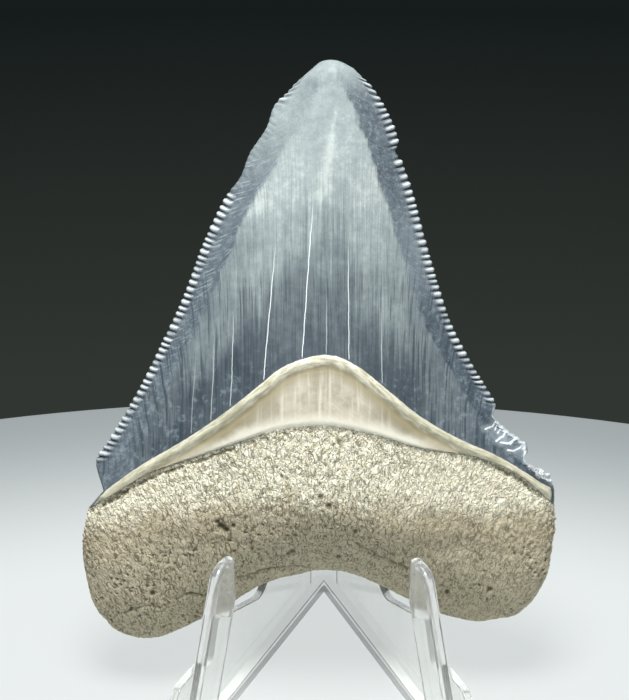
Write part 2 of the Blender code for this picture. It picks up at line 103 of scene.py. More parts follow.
FOOT_PLAN = [(0.0, -0.25), (0.73, -1.89), (3.2, -0.54), (2.2, 1.8), (1.3, 2.8), (0.0, 3.2)]
SPINE_PLAN = [(0.0, 1.5), (0.9, 1.2), (1.5, 0.35), (2.0, -1.07), (3.2, -0.54), (2.2, 1.8), (1.3, 2.8), (0.0, 3.2)]
SPINE_HEIGHT = 46.0
SPINE_EDGE = 0.5

# ---------------------------------------------------------------- fine surface of the tooth
BEADS = 70
ROWS_PER_BEAD = 6
BEAD_OUT = 0.42
BEAD_RISE = 0.42
BEAD_LENGTH = 1.2
BEAD_UNEVEN = 0.24
ROOT_ROWS = 112
BAND_ROWS = 22
ROOT_COLUMNS = 288
BAND_COLUMNS = 170
MIDDLE_COLUMNS = 34
BACK_ROOT_COLUMNS = 112
BACK_MIDDLE_COLUMNS = 18
# Columns beside a cutting edge, millimetres in from it.
STRIP = [0.0, 0.07, 0.18, 0.36, 0.62, 0.95, 1.35, 1.8, 2.3, 2.9]
BACK_STRIP = [0.0, 0.1, 0.3, 0.62, 1.05, 1.6, 2.3]

# How much the root's grains fan out, per millimetre below the band.
FAN = 0.02
# Pits and the foramen of the root: X, Z, radius, depth.
PITS = [(-15.0, 16.9, 0.55, 0.8), (-14.2, 16.4, 0.45, 0.6), (-15.5, 17.7, 0.3, 0.5), (-13.2, 17.0, 0.3, 0.4),
        (0.5, 20.4, 0.5, 0.7), (-0.6, 21.7, 0.35, 0.5), (1.6, 20.1, 0.3, 0.4), (-4.6, 13.0, 0.4, 0.4),
        (-5.3, 12.6, 0.3, 0.3), (2.0, 11.9, 0.4, 0.4), (4.4, 16.4, 0.4, 0.35), (17.8, 6.4, 0.45, 0.5),
        (-25.0, 6.6, 0.4, 0.4), (24.0, 7.0, 0.4, 0.35), (-6.2, 24.6, 0.3, 0.3), (2.0, 29.4, 0.35, 0.35)]
# Shell-like breaks beside the right root corner: X, Z, radius, depth.
FLAKES = [(26.4, 32.8, 2.1, 0.5), (25.6, 29.8, 1.9, 0.45), (28.4, 30.2, 2.0, 0.6), (29.0, 27.4, 1.8, 0.55),
          (31.4, 25.4, 1.8, 0.5), (33.2, 23.0, 1.6, 0.5), (31.4, 22.6, 1.2, 0.25)]
# Sharp white crests where the enamel has broken beside that corner, X and Z.
CRESTS = [[(24.9, 32.2), (25.9, 31.1), (26.8, 30.1), (27.9, 29.2), (27.7, 28.6), (26.7, 28.1), (25.6, 28.3)],
          [(23.3, 30.3), (24.4, 30.6), (25.1, 31.5)], [(24.9, 28.5), (25.5, 28.9), (26.0, 29.1), (26.3, 29.6)],
          [(24.8, 30.1), (25.3, 31.2)], [(27.0, 28.0), (27.9, 28.7), (28.3, 29.1)], [(25.2, 29.6), (25.9, 30.4)],
          [(28.1, 29.1), (28.9, 28.7), (29.2, 27.5), (29.4, 26.0)], [(26.6, 27.2), (27.6, 27.0), (28.5, 27.3), (29.0, 27.9)],
          [(29.4, 25.5), (30.2, 25.2), (31.2, 24.5), (31.9, 23.5), (32.7, 23.9), (33.1, 23.2), (33.2, 21.8)]]
# Long shallow cracks of the root: corner points X, Z, then width and depth.
ROOT_CRACKS = [([(-21.8, 5.6), (-19.4, 6.4), (-16.6, 6.0)], 0.2, 0.22),
               ([(-12.6, 8.6), (-8.4, 9.6), (-4.6, 10.2), (-2.0, 9.6)], 0.2, 0.22),
               ([(4.4, 14.4), (7.4, 12.6), (11.0, 10.6), (14.0, 9.8)], 0.2, 0.22),
               ([(-29.5, 3.0), (-26.0, 4.6), (-24.0, 4.4)], 0.2, 0.18)]


def curve(points, steps=12):
    """Smooth line through the points, as an array of closely spaced points."""
    knots = np.array(points)
    knots = np.vstack([2 * knots[0] - knots[1], knots, 2 * knots[-1] - knots[-2]])
    line = [knots[1]]
    for a, b, c, d in zip(knots[:-3], knots[1:-2], knots[2:-1], knots[3:]):
        for step in range(1, steps + 1):
            t = step / steps
            bend = 2 * a - 5 * b + 4 * c - d
            twist = 3 * b - a - 3 * c + d
            line.append(0.5 * (2 * b + (c - a) * t + bend * t ** 2 + twist * t ** 3))
    return np.array(line)


def along(line, part):
    """Point of a line at a part of its length, 0 to 1."""
    run = np.concatenate([[0.0], np.cumsum(np.linalg.norm(np.diff(line, axis=0), axis=1))])
    at = part * run[-1]
    return np.array([np.interp(at, run, line[:, 0]), np.interp(at, run, line[:, 1])])


def eased(line, passes=250):
    """The same line with its small notches and bumps taken out, its ends kept."""
    part = np.linspace(0.0, 1.0, 161)
    smooth = np.array([along(line, p) for p in part])
    for _ in range(passes):
        smooth[1:-1] = (smooth[:-2] + 2 * smooth[1:-1] + smooth[2:]) / 4
    return smooth


def patch(bottom, top, left, right, across, up_left, up_right):
    """Points of one row of a face patch bounded by four lines: across holds 0 to 1 positions."""
    up = (1 - across) * up_left + across * up_right
    start = along(EASED[left], up_left)
    end = along(EASED[right], up_right)
    low = np.interp(bottom[0][0] + across * (bottom[-1][0] - bottom[0][0]), bottom[:, 0], bottom[:, 1])
    high = np.interp(top[0][0] + across * (top[-1][0] - top[0][0]), top[:, 0], top[:, 1])
    x = (1 - across) * start[0] + across * end[0]
    z = (1 - up) * low + up * high + (1 - across) * start[1] + across * end[1]
    z -= (1 - up) * ((1 - across) * low[0] + across * low[-1])
    z -= up * ((1 - across) * high[0] + across * high[-1])
    width = end[0] - start[0]
    near_left = np.exp(-across * width / EDGE_REACH)
    near_right = np.exp(-(1 - across) * width / EDGE_REACH)
    slip_left = along(LINES[left], up_left) - start
    slip_right = along(LINES[right], up_right) - end
    x = x + near_left * slip_left[0] + near_right * slip_right[0]
    z = z + near_left * slip_left[1] + near_right * slip_right[1]
    return x, z


def root_columns(count):
    """Positions across a root row, closer together at the rounded sides."""
    even = np.linspace(-1.0, 1.0, count + 1)
    return 0.5 + 0.5 * np.sign(even) * (1 - (1 - np.abs(even)) ** 1.35)


TABLES = {}


def table(points, at):
    """Value read off a smooth line through (place, value) points."""
    key = id(points)
    if key not in TABLES:
        TABLES[key] = curve(points)
    return np.interp(at, TABLES[key][:, 0], TABLES[key][:, 1])


def side_position(x, z):
    """How far out a point is between the outlines at its height: -1 left, 0 middle, 1 right."""
    left = np.interp(z, SIDES[0][:, 1], SIDES[0][:, 0])
    right = np.interp(z, SIDES[1][:, 1], SIDES[1][:, 0])
    return (2 * x - left - right) / (right - left)


def rounded_in(distance, radius, power=2.0):
    """Rise of a rounded side, 0 at the outline to 1 at the radius and beyond."""
    t = np.clip(distance / radius, 0, 1)
    return (1 - (1 - t) ** power) ** (1 / power)


def smooth_step(low, high, value):
    """0 below low, 1 above high, eased between."""
    t = np.clip((value - low) / (high - low), 0, 1)
    return t * t * (3 - 2 * t)


def front_depth(x, z):
    """Depth of the display face: lens-shaped crown, full rounded root whose bulge is lower at the lobes."""
    low = LOBE_DROP * np.minimum((x / LOBE_OUT) ** 2, 1.8) * np.clip((46 - z) / 20, 0, 1)
    w = side_position(x, z)
    lobe = 1 - LOBE_THIN * (1 - np.exp(-(w / 0.36) ** 2)) * np.clip((36 - z) / 12, 0, 1)
    return lobe * table(FRONT_PROFILE, z + low) * np.maximum(0, 1 - w ** 2) ** table(FRONT_SHARPNESS, z)


def back_depth(x, z):
    """Depth of the back, which is flatter."""
    w = side_position(x, z)
    return table(BACK_PROFILE, z) * np.maximum(0, 1 - np.abs(w) ** 2.2) ** table(BACK_SHARPNESS, z)


def tip_round(up):
    """Rounds the last of the crown over at the tip."""
    return np.sqrt(np.maximum(0.0, 1 - np.maximum(0.0, (up - 0.93) / 0.07) ** 2))


def bead_height(z, side):
    """How much of the serration is left at a height on the left (0) or right (1) cutting edge."""
    if side == 0:
        return float(np.interp(z, [24.6, 26.2, 64.0, 65.5, 77.0, 78.0, 80.0, 81.0],
                               [0.0, 1.0, 1.0, 0.15, 0.15, 0.6, 0.6, 0.0]))
    return float(np.interp(z, [33.0, 34.4, 69.2, 70.0, 70.8, 71.4, 80.4, 81.2],
                           [0.25, 1.0, 1.0, 0.2, 0.2, 1.0, 1.0, 0.0]))


LINES = {name: curve(points) for name, points in (
    ("bottom", ROOT_BOTTOM), ("root_left", ROOT_LEFT), ("root_right", ROOT_RIGHT),
    ("neck_left", NECK_LEFT), ("neck_right", NECK_RIGHT), ("crown_left", CROWN_LEFT),
    ("crown_right", CROWN_RIGHT), ("tip", TIP_ARC), ("root_top", ROOT_TOP), ("band_top", BAND_TOP),
    ("back_enamel", BACK_ENAMEL), ("back_low", BACK_LOW))}
EASED = {name: eased(line) for name, line in LINES.items()}
SIDES = [curve(LEFT_SIDE), curve(RIGHT_SIDE)]


def hashed(cells, seed):
    """Repeatable 0 to 1 value for each whole-number cell."""
    cells = cells.astype(np.int64)
    n = cells[..., 0] * 374761393 + cells[..., 1] * 668265263 + cells[..., 2] * 1442695041 + seed * 974711
    n = n & 0xFFFFFFFF
    n = ((n ^ (n >> 13)) * 1274126177) & 0xFFFFFFFF
    n = ((n ^ (n >> 15)) * 2246822519) & 0xFFFFFFFF
    return ((n ^ (n >> 16)) & 0xFFFFFF) / float(0xFFFFFF)


def noise(spots, size, seed=0):
    """Smooth noise from -1 to 1 with bumps about this many millimetres across."""
    p = spots / size
    cell = np.floor(p)
    part = p - cell
    ease = part ** 3 * (part * (part * 6 - 15) + 10)
    total = np.zeros(len(spots))
    for corner in np.ndindex(2, 2, 2):
        offset = np.array(corner)
        to = part - offset
        slope = np.stack([hashed(cell + offset, seed + k) * 2 - 1 for k in (0, 1, 2)], axis=-1)
        weight = np.prod(np.where(offset, ease, 1 - ease), axis=-1)
        total += weight * np.sum(slope * to, axis=-1)
    return np.clip(total * 1.7, -1, 1)


def nearest_seeds(spots, size, seed=0):
    """Distance to the nearest and second nearest of scattered seeds, in units of their spacing."""
    p = spots / size
    cell = np.floor(p)
    first = np.full(len(spots), 9.0)
    second = np.full(len(spots), 9.0)
    for corner in np.ndindex(3, 3, 3):
        here = cell + np.array(corner) - 1
        place = here + np.stack([hashed(here, seed + k) for k in (0, 1, 2)], axis=-1)
        away = np.linalg.norm(p - place, axis=-1)
        second = np.minimum(second, np.maximum(first, away))
        first = np.minimum(first, away)
    return first, second


def distance_above(line, x, z):
    """Distance from a line, positive above it, millimetres."""
    best = np.full(x.shape, 1e9)
    for (ax, az), (bx, bz) in zip(line[:-1], line[1:]):
        dx, dz = bx - ax, bz - az
        t = np.clip(((x - ax) * dx + (z - az) * dz) / (dx * dx + dz * dz), 0, 1)
        best = np.minimum(best, (x - ax - t * dx) ** 2 + (z - az - t * dz) ** 2)
    above = z > np.interp(x, line[:, 0], line[:, 1])
    return np.sqrt(best) * np.where(above, 1.0, -1.0)


def distance_from(corners, x, z):
    """Distance from a line of straight stretches, millimetres."""
    return np.abs(distance_above(np.array(corners), x, z))


def bead_ends(seed):
    """Where each serration begins along a cutting edge, 0 to 1, a little uneven."""
    sizes = 1 + np.random.default_rng(seed).uniform(-BEAD_UNEVEN, BEAD_UNEVEN, BEADS)
    return np.concatenate([[0.0], np.cumsum(sizes) / sizes.sum()])


def edge_direction(name, up):
    """Direction in which an eased line runs on at a part of its length."""
    ahead = along(EASED[name], min(up + 0.012, 1.0)) - along(EASED[name], max(up - 0.012, 0.0))
    return ahead / np.linalg.norm(ahead)


def crown_rows(base, depth, strip, middle):
    """Rows of the crown on one face: across, X, Z, depth, distance in from the edge, serration."""
    ends = (bead_ends(21), bead_ends(22))
    size = np.random.default_rng(23).uniform(0.6, 1.2, (2, BEADS + 1))
    rows = []
    for step in range(BEADS * ROWS_PER_BEAD + 1):
        bead, place = divmod(step, ROWS_PER_BEAD)
        t = place / ROWS_PER_BEAD
        ups = [float(np.interp(bead + t, np.arange(BEADS + 1), e)) for e in ends]
        start = along(LINES["crown_left"], ups[0])
        end = along(LINES["crown_right"], ups[1])
        width = end[0] - start[0]
        inset = np.array(strip) * min(1.0, 0.36 * width / strip[-1])
        inner = np.linspace(inset[-1] / width, 1 - inset[-1] / width, middle + 2)[1:-1]
        across = np.concatenate([inset / width, inner, 1 - inset[::-1] / width])
        x, z = patch(LINES[base], LINES["tip"], "crown_left", "crown_right", across, *ups)
        slopes = [edge_direction(name, up) for name, up in zip(("crown_left", "crown_right"), ups)]
        beyond_left = (inner * width - inset[-1]) * slopes[0][1]
        beyond_right = ((1 - inner) * width - inset[-1]) * slopes[1][1]
        far = np.concatenate([inset, inset[-1] + np.minimum(beyond_left, beyond_right), inset[::-1]])
        bead_here = np.zeros(len(x))
        count = len(inset)
        for side, up, name, edge in ((0, ups[0], "crown_left", start), (1, ups[1], "crown_right", end)):
            # The columns beside the edge run square to it, so that the serrations do too.
            ahead = slopes[side]
            inward = np.array([ahead[1], -ahead[0]]) * (1 if side == 0 else -1)
            square = smooth_step(0.0, 0.1, up) * (1 - smooth_step(0.86, 0.95, up))
            at = slice(0, count) if side == 0 else slice(len(x) - count, len(x))
            run = inset if side == 0 else inset[::-1]
            smooth = along(EASED[name], up)
            slip = np.exp(-run / EDGE_REACH)
            to_x = smooth[0] + (edge - smooth)[0] * slip + inward[0] * run
            to_z = smooth[1] + (edge - smooth)[1] * slip + inward[1] * run
            if side == 1:
                # Near the broken corner only the very edge is square, so that the rows don't fold over.
                steady = smooth_step(0.2, 0.4, up)
                square = square * (steady + (1 - steady) * (1 - np.exp(-run / 1.4)) * 1.4 / np.maximum(run, 0.001))
            move_x = (to_x - x[at]) * square
            move_z = (to_z - z[at]) * square
            last = -1 if side == 0 else 0
            beyond = (across * width if side == 0 else (1 - across) * width) - inset[-1]
            reach = np.exp(-np.maximum(beyond, 0) / 5.5)
            shift_x = move_x[last] * reach
            shift_z = move_z[last] * reach
            shift_x[at] = move_x
            shift_z[at] = move_z
            x = x + shift_x
            z = z + shift_z
            # Serration: rounded beads with narrow gaps, longer on the face than they stand out.
            strength = bead_height(edge[1], side) * size[side][bead]
            rise = abs(math.sin(math.pi * t)) ** 0.85
            out = (rise - 0.6) * BEAD_OUT * strength * np.exp(-(run / 0.6) ** 2)
            if 0 < step < BEADS * ROWS_PER_BEAD:
                x[at] -= inward[0] * out
                z[at] -= inward[1] * out
            reach_in = np.clip((run - 0.1) / (BEAD_LENGTH - 0.1), 0, 1)
            length = 0.86 * np.sqrt(1 - reach_in ** 2) + 0.14 * (1 - smooth_step(1.0, 2.3, run))
            bead_here[at] = strength * length * rise - 0.45 * strength * length * (1 - rise)
        y = depth(x, z) + MARGIN * rounded_in(far, 0.5)
        y = y + BEAD_RISE * bead_here * smooth_step(0.0, 0.15, far)
        rows.append((across, x, z, y * tip_round((ups[0] + ups[1]) / 2), far, bead_here))
    return rows


def root_rows(top, count, depth, round_rows, power):
    """Rows of the root on one face."""
    rows = []
    across = root_columns(count)
    for step in range(ROOT_ROWS + 1):
        up = (step / ROOT_ROWS) ** 1.25
        x, z = patch(LINES["bottom"], LINES[top], "root_left", "root_right", across, up, up)
        y = depth(x, z) * rounded_in(up, np.interp(x, *np.array(round_rows).T), power)
        rows.append((across, x, z, y, np.full(len(x), 9.0), np.zeros(len(x))))
    return rows


def neck_rows(low, high, count, depth):
    """Rows between the root and the crown on one face."""
    rows = []
    for step in range(1, BAND_ROWS):
        up = step / BAND_ROWS
        across = root_columns(count)
        x, z = patch(LINES[low], LINES[high], "neck_left", "neck_right", across, up, up)
        far = np.minimum(across, 1 - across) * (x[-1] - x[0])
        rows.append((across, x, z, depth(x, z) + MARGIN * rounded_in(far, 0.5), far, np.zeros(len(x))))
    return rows


def ribbon(lower, upper, shared=""):
    """Triangles between two rows, each a list of (position across, vertex number)."""
    faces = []
    i = 0
    j = 0
    ends = (len(lower) - 1, len(upper) - 1)
    while (i, j) != ends:
        lower_next = lower[i][0] + lower[i + 1][0] if i < ends[0] else 9.0
        upper_next = upper[j][0] + upper[j + 1][0] if j < ends[1] else 9.0
        take_lower = lower_next <= upper_next
        if shared == "lower" and i < ends[0]:
            take_lower = (take_lower or j == ends[1] - 1) and j > 0
        if shared == "upper" and j < ends[1]:
            take_lower = i == 0 or (take_lower and i < ends[0] - 1)
        if take_lower:
            faces.append((lower[i][1], lower[i + 1][1], upper[j][1]))
            i += 1
        else:
            faces.append((lower[i][1], upper[j + 1][1], upper[j][1]))
            j += 1
    return faces


def tooth_place():
    """From the tooth's own frame to its place against the stand."""
    lean = Matrix.Translation(Vector(TOOTH_SET) * MM) @ Matrix.Rotation(-LEAN, 4, "X")
    return Matrix.Translation(Vector(ORIGIN_SHIFT) * MM) @ Matrix.Rotation(TURN, 4, "Z") @ lean


def root_relief(spots, face, rough_up):
    """Height of the root's surface over its smooth form, and how hollow it is there, which the material darkens as
    partly dirt, partly painted shade.
    """
    x, z = spots[:, 0], spots[:, 2]
    # Its grains are drawn out away from the crown, fanning toward the lobes.
    lie = np.stack([x * (1 - FAN * rough_up), spots[:, 1], 0.5 * rough_up], axis=-1)
    bend = np.stack([noise(spots, 1.5, 31), noise(spots, 1.5, 32), noise(spots, 1.5, 33)], axis=-1)
    grains, second = nearest_seeds(lie + 0.3 * bend, 0.66, 41)
    grain = np.clip((second - grains) * 1.7, 0, 1)
    fine = noise(lie + 0.25 * bend, 0.6, 51)
    patches = noise(spots, 4.0, 52)
    lumps = noise(spots, 8.0, 61) + 0.5 * noise(spots, 3.2, 62)
    # The underside is smoother, with scattered small pits.
    edge_of_under = 18.5 - 3.4 * np.minimum((x / 24) ** 2, 1.6) + 1.2 * noise(spots, 6.0, 63)
    under = (1 - smooth_step(-2.5, 2.5, z - edge_of_under)) * (face > 0)
    holes, _ = nearest_seeds(spots * [1.0, 1.0, 1.5] + 0.2 * bend, 1.05, 71)
    pin = (1 - smooth_step(0.14, 0.32, holes)) * smooth_step(-0.35, 0.15, noise(spots, 5.0, 72))
    relief = (0.34 - 0.25 * under) * (grain - 0.6) * (1 + 0.35 * patches)
    relief += (0.19 - 0.13 * under) * fine + 0.22 * lumps
    relief -= pin * (0.05 + 0.25 * under)
    hollow = np.clip(0.75 - grain * 1.9, 0, 1) * (0.8 - 0.55 * under) + pin * (0.1 + 0.9 * under)
    hollow += np.clip(-fine - 0.3, 0, 1) * 0.5
    for at_x, at_z, radius, depth in PITS:
        hole = np.exp(-((x - at_x) ** 2 + (z - at_z) ** 2) / radius ** 2) * (face > 0)
        relief -= depth * hole
        hollow += 1.4 * hole
    for corners, width, depth in ROOT_CRACKS:
        away = distance_from(corners, x + 0.3 * bend[:, 0], z + 0.3 * bend[:, 1])
        split = np.exp(-(away / (1.5 * width)) ** 2) * (face > 0)
        relief -= depth * split
        hollow += 0.7 * split
    # A dark groove runs under the band on the left, and gaps open along the rest of the border.
    groove = np.exp(-((rough_up + 0.55 + 0.2 * bend[:, 0]) / 0.3) ** 2) * (face > 0)
    groove *= smooth_step(-34.0, -31.0, x) * (0.35 + 0.65 * smooth_step(-8.0, -16.0, x)) * (0.6 + 0.6 * bend[:, 1])
    relief -= 0.35 * groove
    hollow += 1.3 * groove
    # The rough root sets in a little below its border with the band.
    set_in = smooth_step(0.0, 0.35, -rough_up)
    return relief * set_in - 0.12 * set_in, np.clip(hollow, 0, 1) * set_in


def flake_relief(x, z):
    """Depth taken by shell-like breaks, with sharp ridges between them."""
    cut = np.zeros(len(x))
    for at_x, at_z, radius, depth in FLAKES:
        cut = np.maximum(cut, depth * np.clip(1 - ((x - at_x) ** 2 + (z - at_z) ** 2) / radius ** 2, 0, 1))
    return cut


def make_tooth():
    """The whole tooth as one closed fine surface, with what its material needs stored at each point."""
    front = root_rows("root_top", ROOT_COLUMNS, front_depth, curve(BULGE_ROWS), CHAMFER_POWER)
    front += neck_rows("root_top", "band_top", BAND_COLUMNS, front_depth)
    front += crown_rows("band_top", front_depth, STRIP, MIDDLE_COLUMNS)
    back = root_rows("back_enamel", BACK_ROOT_COLUMNS, back_depth, [(0.0, BACK_ROUND_ROW)], 2.0)
    back += neck_rows("back_enamel", "back_low", 60, back_depth)
    back += crown_rows("back_low", back_depth, BACK_STRIP, BACK_MIDDLE_COLUMNS)
    last = len(front) - 1
    points, fars, beads, faces_of = [], [], [], []
    numbered = {"front": [], "back": []}
    for number, (across, x, z, y, far, bead) in enumerate(front):
        numbered["front"].append([(float(a), len(points) + k) for k, a in enumerate(across)])
        y = -y
        y[0] = y[-1] = 0.0
        if number in (0, last):
            y[:] = 0.0
        points += list(zip(x, y, z))
        fars += list(far)
        beads += list(bead)
        faces_of += [1.0] * len(x)
    for number, (across, x, z, y, far, bead) in enumerate(back):
        ends = numbered["front"][number]
        if number in (0, last):
            numbered["back"].append(ends)
            continue
        inner = [(float(across[k]), len(points) + k - 1) for k in range(1, len(across) - 1)]
        numbered["back"].append([ends[0]] + inner + [ends[-1]])
        points += list(zip(x[1:-1], y[1:-1], z[1:-1]))
        fars += list(far[1:-1])
        beads += list(bead[1:-1])
        faces_of += [-1.0] * (len(x) - 2)
    faces = []
    for number in range(last):
        shared = {0: "lower", last - 1: "upper"}.get(number, "")
        faces += ribbon(numbered["front"][number], numbered["front"][number + 1], shared)
        turned = ribbon(numbered["back"][number], numbered["back"][number + 1], shared)
        faces += [f[::-1] for f in turned]
    spots = np.array(points)
    face = np.array(faces_of)
    far = np.array(fars)
    bead = np.array(beads)
    mesh = bpy.data.meshes.new("tooth_surface")
    mesh.from_pydata(spots * MM, [], faces)
    normals = np.zeros(len(spots) * 3)
    mesh.vertex_normals.foreach_get("vector", normals)
    normals = normals.reshape(-1, 3)

    x, z = spots[:, 0], spots[:, 2]
    above_front = distance_above(LINES["band_top"], x, z)
    rough_front = distance_above(LINES["root_top"], x, z)
    above_back = distance_above(LINES["back_enamel"], x, z)
    border = np.where(face > 0, above_front, above_back)
    rough = np.where(face > 0, rough_front, above_back)
    relief, hollow = root_relief(spots, face, rough)
    move = np.where(rough < 0, relief, 0.0)
    # Fibrous ridge under the enamel's border, a groove below it, then the smooth band.
    wander = 0.18 * noise(spots * [1, 0, 1], 2.2, 81)
    on_band = (face > 0) & (rough >= 0)
    ridge = 0.34 * np.exp(-((border + 0.72 + wander) / 0.5) ** 2) - 0.12 * np.exp(-((border + 1.75 + wander) / 0.4) ** 2)
    ridge += 0.05 * noise(spots * [1, 0, 0.3], 0.7, 82) * (border < 0)
    ends_in = np.minimum(1.0, far / 1.2)
    move += np.where(on_band, ridge * ends_in, 0.0)
    move -= np.where(on_band, 0.1 * np.exp(-(rough / 0.35) ** 2), 0.0)
    # Enamel: its lower rim stands proud, with fine lengthwise ripples, and breaks at the right corner.
    enamel = border > 0
    ripple = 0.035 * noise(spots * [1, 0, 0.12], 1.3, 83) + 0.05 * noise(spots * [1, 0, 0.25], 5.0, 84)
    move += np.where(enamel, ripple * np.minimum(1.0, far / 2.0), 0.0)
    thin = np.clip(np.abs(spots[:, 1]) / 0.5, 0, 1)
    move -= np.where(border > -0.5, flake_relief(x, z) * thin * np.minimum(1.0, np.abs(spots[:, 1]) / 1.2), 0.0)
    crumbly = smooth_step(28.4, 29.4, x) * smooth_step(0.4, 1.0, border)
    move += 0.3 * noise(spots, 0.9, 86) * crumbly
    worn = smooth_step(76.5, 81.0, z) + smooth_step(64.5, 66.5, z) * (x < -6)
    move += np.where(enamel, 0.07 * noise(spots, 1.6, 85) * np.clip(worn, 0, 1) * thin, 0.0)
    spots = spots + normals * move[:, None]

    mesh.vertices.foreach_set("co", (spots * MM).ravel())
    mesh.transform(tooth_place())
    mesh.validate()
    mesh.shade_smooth()
    for name, values in (("edge_far", far), ("border", border), ("rough", rough), ("hollow", hollow),
                         ("bead", bead), ("face", face), ("flaked", np.clip(flake_relief(x, z) * 3, 0, 1) * (face > 0))):
        mesh.attributes.new(name, "FLOAT", "POINT").data.foreach_set("value", values.astype(np.float32))
    own = mesh.attributes.new("spot", "FLOAT_VECTOR", "POINT")
    own.data.foreach_set("vector", spots.astype(np.float32).ravel())
    body = bpy.data.objects.new("tooth_surface", mesh)
    bpy.context.scene.collection.objects.link(body)
    return body


# ---------------------------------------------------------------- stand
def rounded_outline(corners, inset=0.0, steps=10):
    """Outline with rounded corners, from (along, up, radius) corners, drawn in by an inset above the table."""
    outline = []
    for number, (x, y, radius) in enumerate(corners):
        corner = Vector((x, y))
        before = (Vector(corners[number - 1][:2]) - corner).normalized()
        after = (Vector(corners[(number + 1) % len(corners)][:2]) - corner).normalized()
        half = before.angle(after) / 2
        inward = (before + after).normalized()
        turn = 1.0 if before.x * after.y - before.y * after.x < 0 else -1.0
        middle = corner + inward * radius / math.sin(half)
        if radius == 0.0:
            spot = corner + inward * turn * inset / math.sin(half)
            outline.append(Vector((spot.x, 0.0)) if y == 0.0 else spot)
            continue
        bend = max(radius - turn * inset, 0.05)
        middle += inward * (bend - radius + turn * inset) / math.sin(half)
        reach = bend / math.tan(half)
        start = before * reach - inward * bend / math.sin(half)
        sweep = (math.pi - 2 * half) * -turn
        for step in range(steps + 1):
            angle = -sweep * step / steps
            arm = Vector((start.x * math.cos(angle) - start.y * math.sin(angle),
                          start.x * math.sin(angle) + start.y * math.cos(angle)))
            outline.append(middle + arm)
    return outline


def finish_mesh(name, work):
    """Turns a working mesh into a scene object."""
    mesh = bpy.data.meshes.new(name)
    work.to_mesh(mesh)
    work.free()
    body = bpy.data.objects.new(name, mesh)
    bpy.context.scene.collection.objects.link(body)
    return body


def slab(name, corners, near, far, side, edge, turns=4):
    """Plate standing in a wall's plane, its edges rounded over in several turns."""
    forward = Vector((side * math.sin(WALL_SPREAD), -math.cos(WALL_SPREAD), 0.0))
    outward = Vector((side * math.cos(WALL_SPREAD), math.sin(WALL_SPREAD), 0.0))
    layers = []
    for turn in range(turns + 1):
        angle = math.pi / 2 * turn / turns
        layers.append((edge * (1 - math.sin(angle)), near + edge * (1 - math.cos(angle))))
    layers += [(inset, near + far - offset) for inset, offset in layers[::-1]]
    work = bmesh.new()
    loops = []
    for inset, offset in layers:
        spots = [forward * spot.x + outward * offset + Vector((0.0, 0.0, spot.y))
                 for spot in rounded_outline(corners, inset)]
        loops.append([work.verts.new(spot * MM) for spot in spots])
    work.faces.new(loops[0])
    work.faces.new(loops[-1][::-1])
    for low, high in zip(loops[:-1], loops[1:]):
        for k in range(len(low)):
            n = (k + 1) % len(low)
            work.faces.new((low[k], high[k], high[n], low[n]))
    bmesh.ops.recalc_face_normals(work, faces=work.faces)
    return finish_mesh(name, work)


def upright(name, half, height, edge):
    """Upright bar where the two walls meet, from half of its plan, its top edges rounded."""
    plan = half + [(-x, y) for x, y in half[-2:0:-1]]
    work = bmesh.new()
    low = [work.verts.new(Vector((x, y, 0.0)) * MM) for x, y in plan]
    high = [work.verts.new(Vector((x, y, height)) * MM) for x, y in plan]
    work.faces.new(low)
    top = work.faces.new(high)
    for k in range(len(plan)):
        n = (k + 1) % len(plan)
        work.faces.new((low[k], low[n], high[n], high[k]))
    bmesh.ops.recalc_face_normals(work, faces=work.faces)
    bmesh.ops.bevel(work, geom=list(top.edges), offset=edge * MM, segments=3, profile=0.5, affect="EDGES")
    return finish_mesh(name, work)


def make_stand():
    """The stand as one clear moulding."""
    body = upright("stand_moulding", SPINE_PLAN, SPINE_HEIGHT, SPINE_EDGE)
    parts = [upright("foot", FOOT_PLAN, RIB_HEIGHT, RIB_EDGE)]
    for side, word in ((-1, "left"), (1, "right")):
        parts.append(slab("wall_" + word, WALL_OUTLINE, WALL_NEAR, WALL_FAR, side, WALL_EDGE))
        parts.append(slab("post_" + word, POST_OUTLINE, 0.0, POST_THICK, side, POST_EDGE))
        parts.append(slab("rib_" + word, RIB_OUTLINE, -0.1, POST_THICK + 0.1, side, RIB_EDGE))
    for part in parts:
        join = body.modifiers.new("join_" + part.name, "BOOLEAN")
        join.operation = "UNION"
        join.solver = "EXACT"
        join.object = part
    shaped = settled(body)
    for item in [body] + parts:
        bpy.data.objects.remove(item, do_unlink=True)
    shaped.transform(Matrix.Translation(Vector(ORIGIN_SHIFT) * MM))
    shaped.shade_smooth()
    shaped.set_sharp_from_angle(angle=math.radians(32))
    # The broad faces stay optically flat and only the rounded edges bend light.
    rounded = bpy.data.objects.new("rounded", shaped)
    bpy.context.scene.collection.objects.link(rounded)
    rounded.modifiers.new("flat_faces", "WEIGHTED_NORMAL").keep_sharp = True
    moulding = bpy.data.objects.new("stand_moulding", settled(rounded))
    bpy.data.objects.remove(rounded, do_unlink=True)
    bpy.context.scene.collection.objects.link(moulding)
    return moulding


def settled(body):
    """Mesh of an object with its modifiers worked out."""
    bpy.context.view_layer.update()
    return bpy.data.meshes.new_from_object(body.evaluated_get(bpy.context.evaluated_depsgraph_get()))


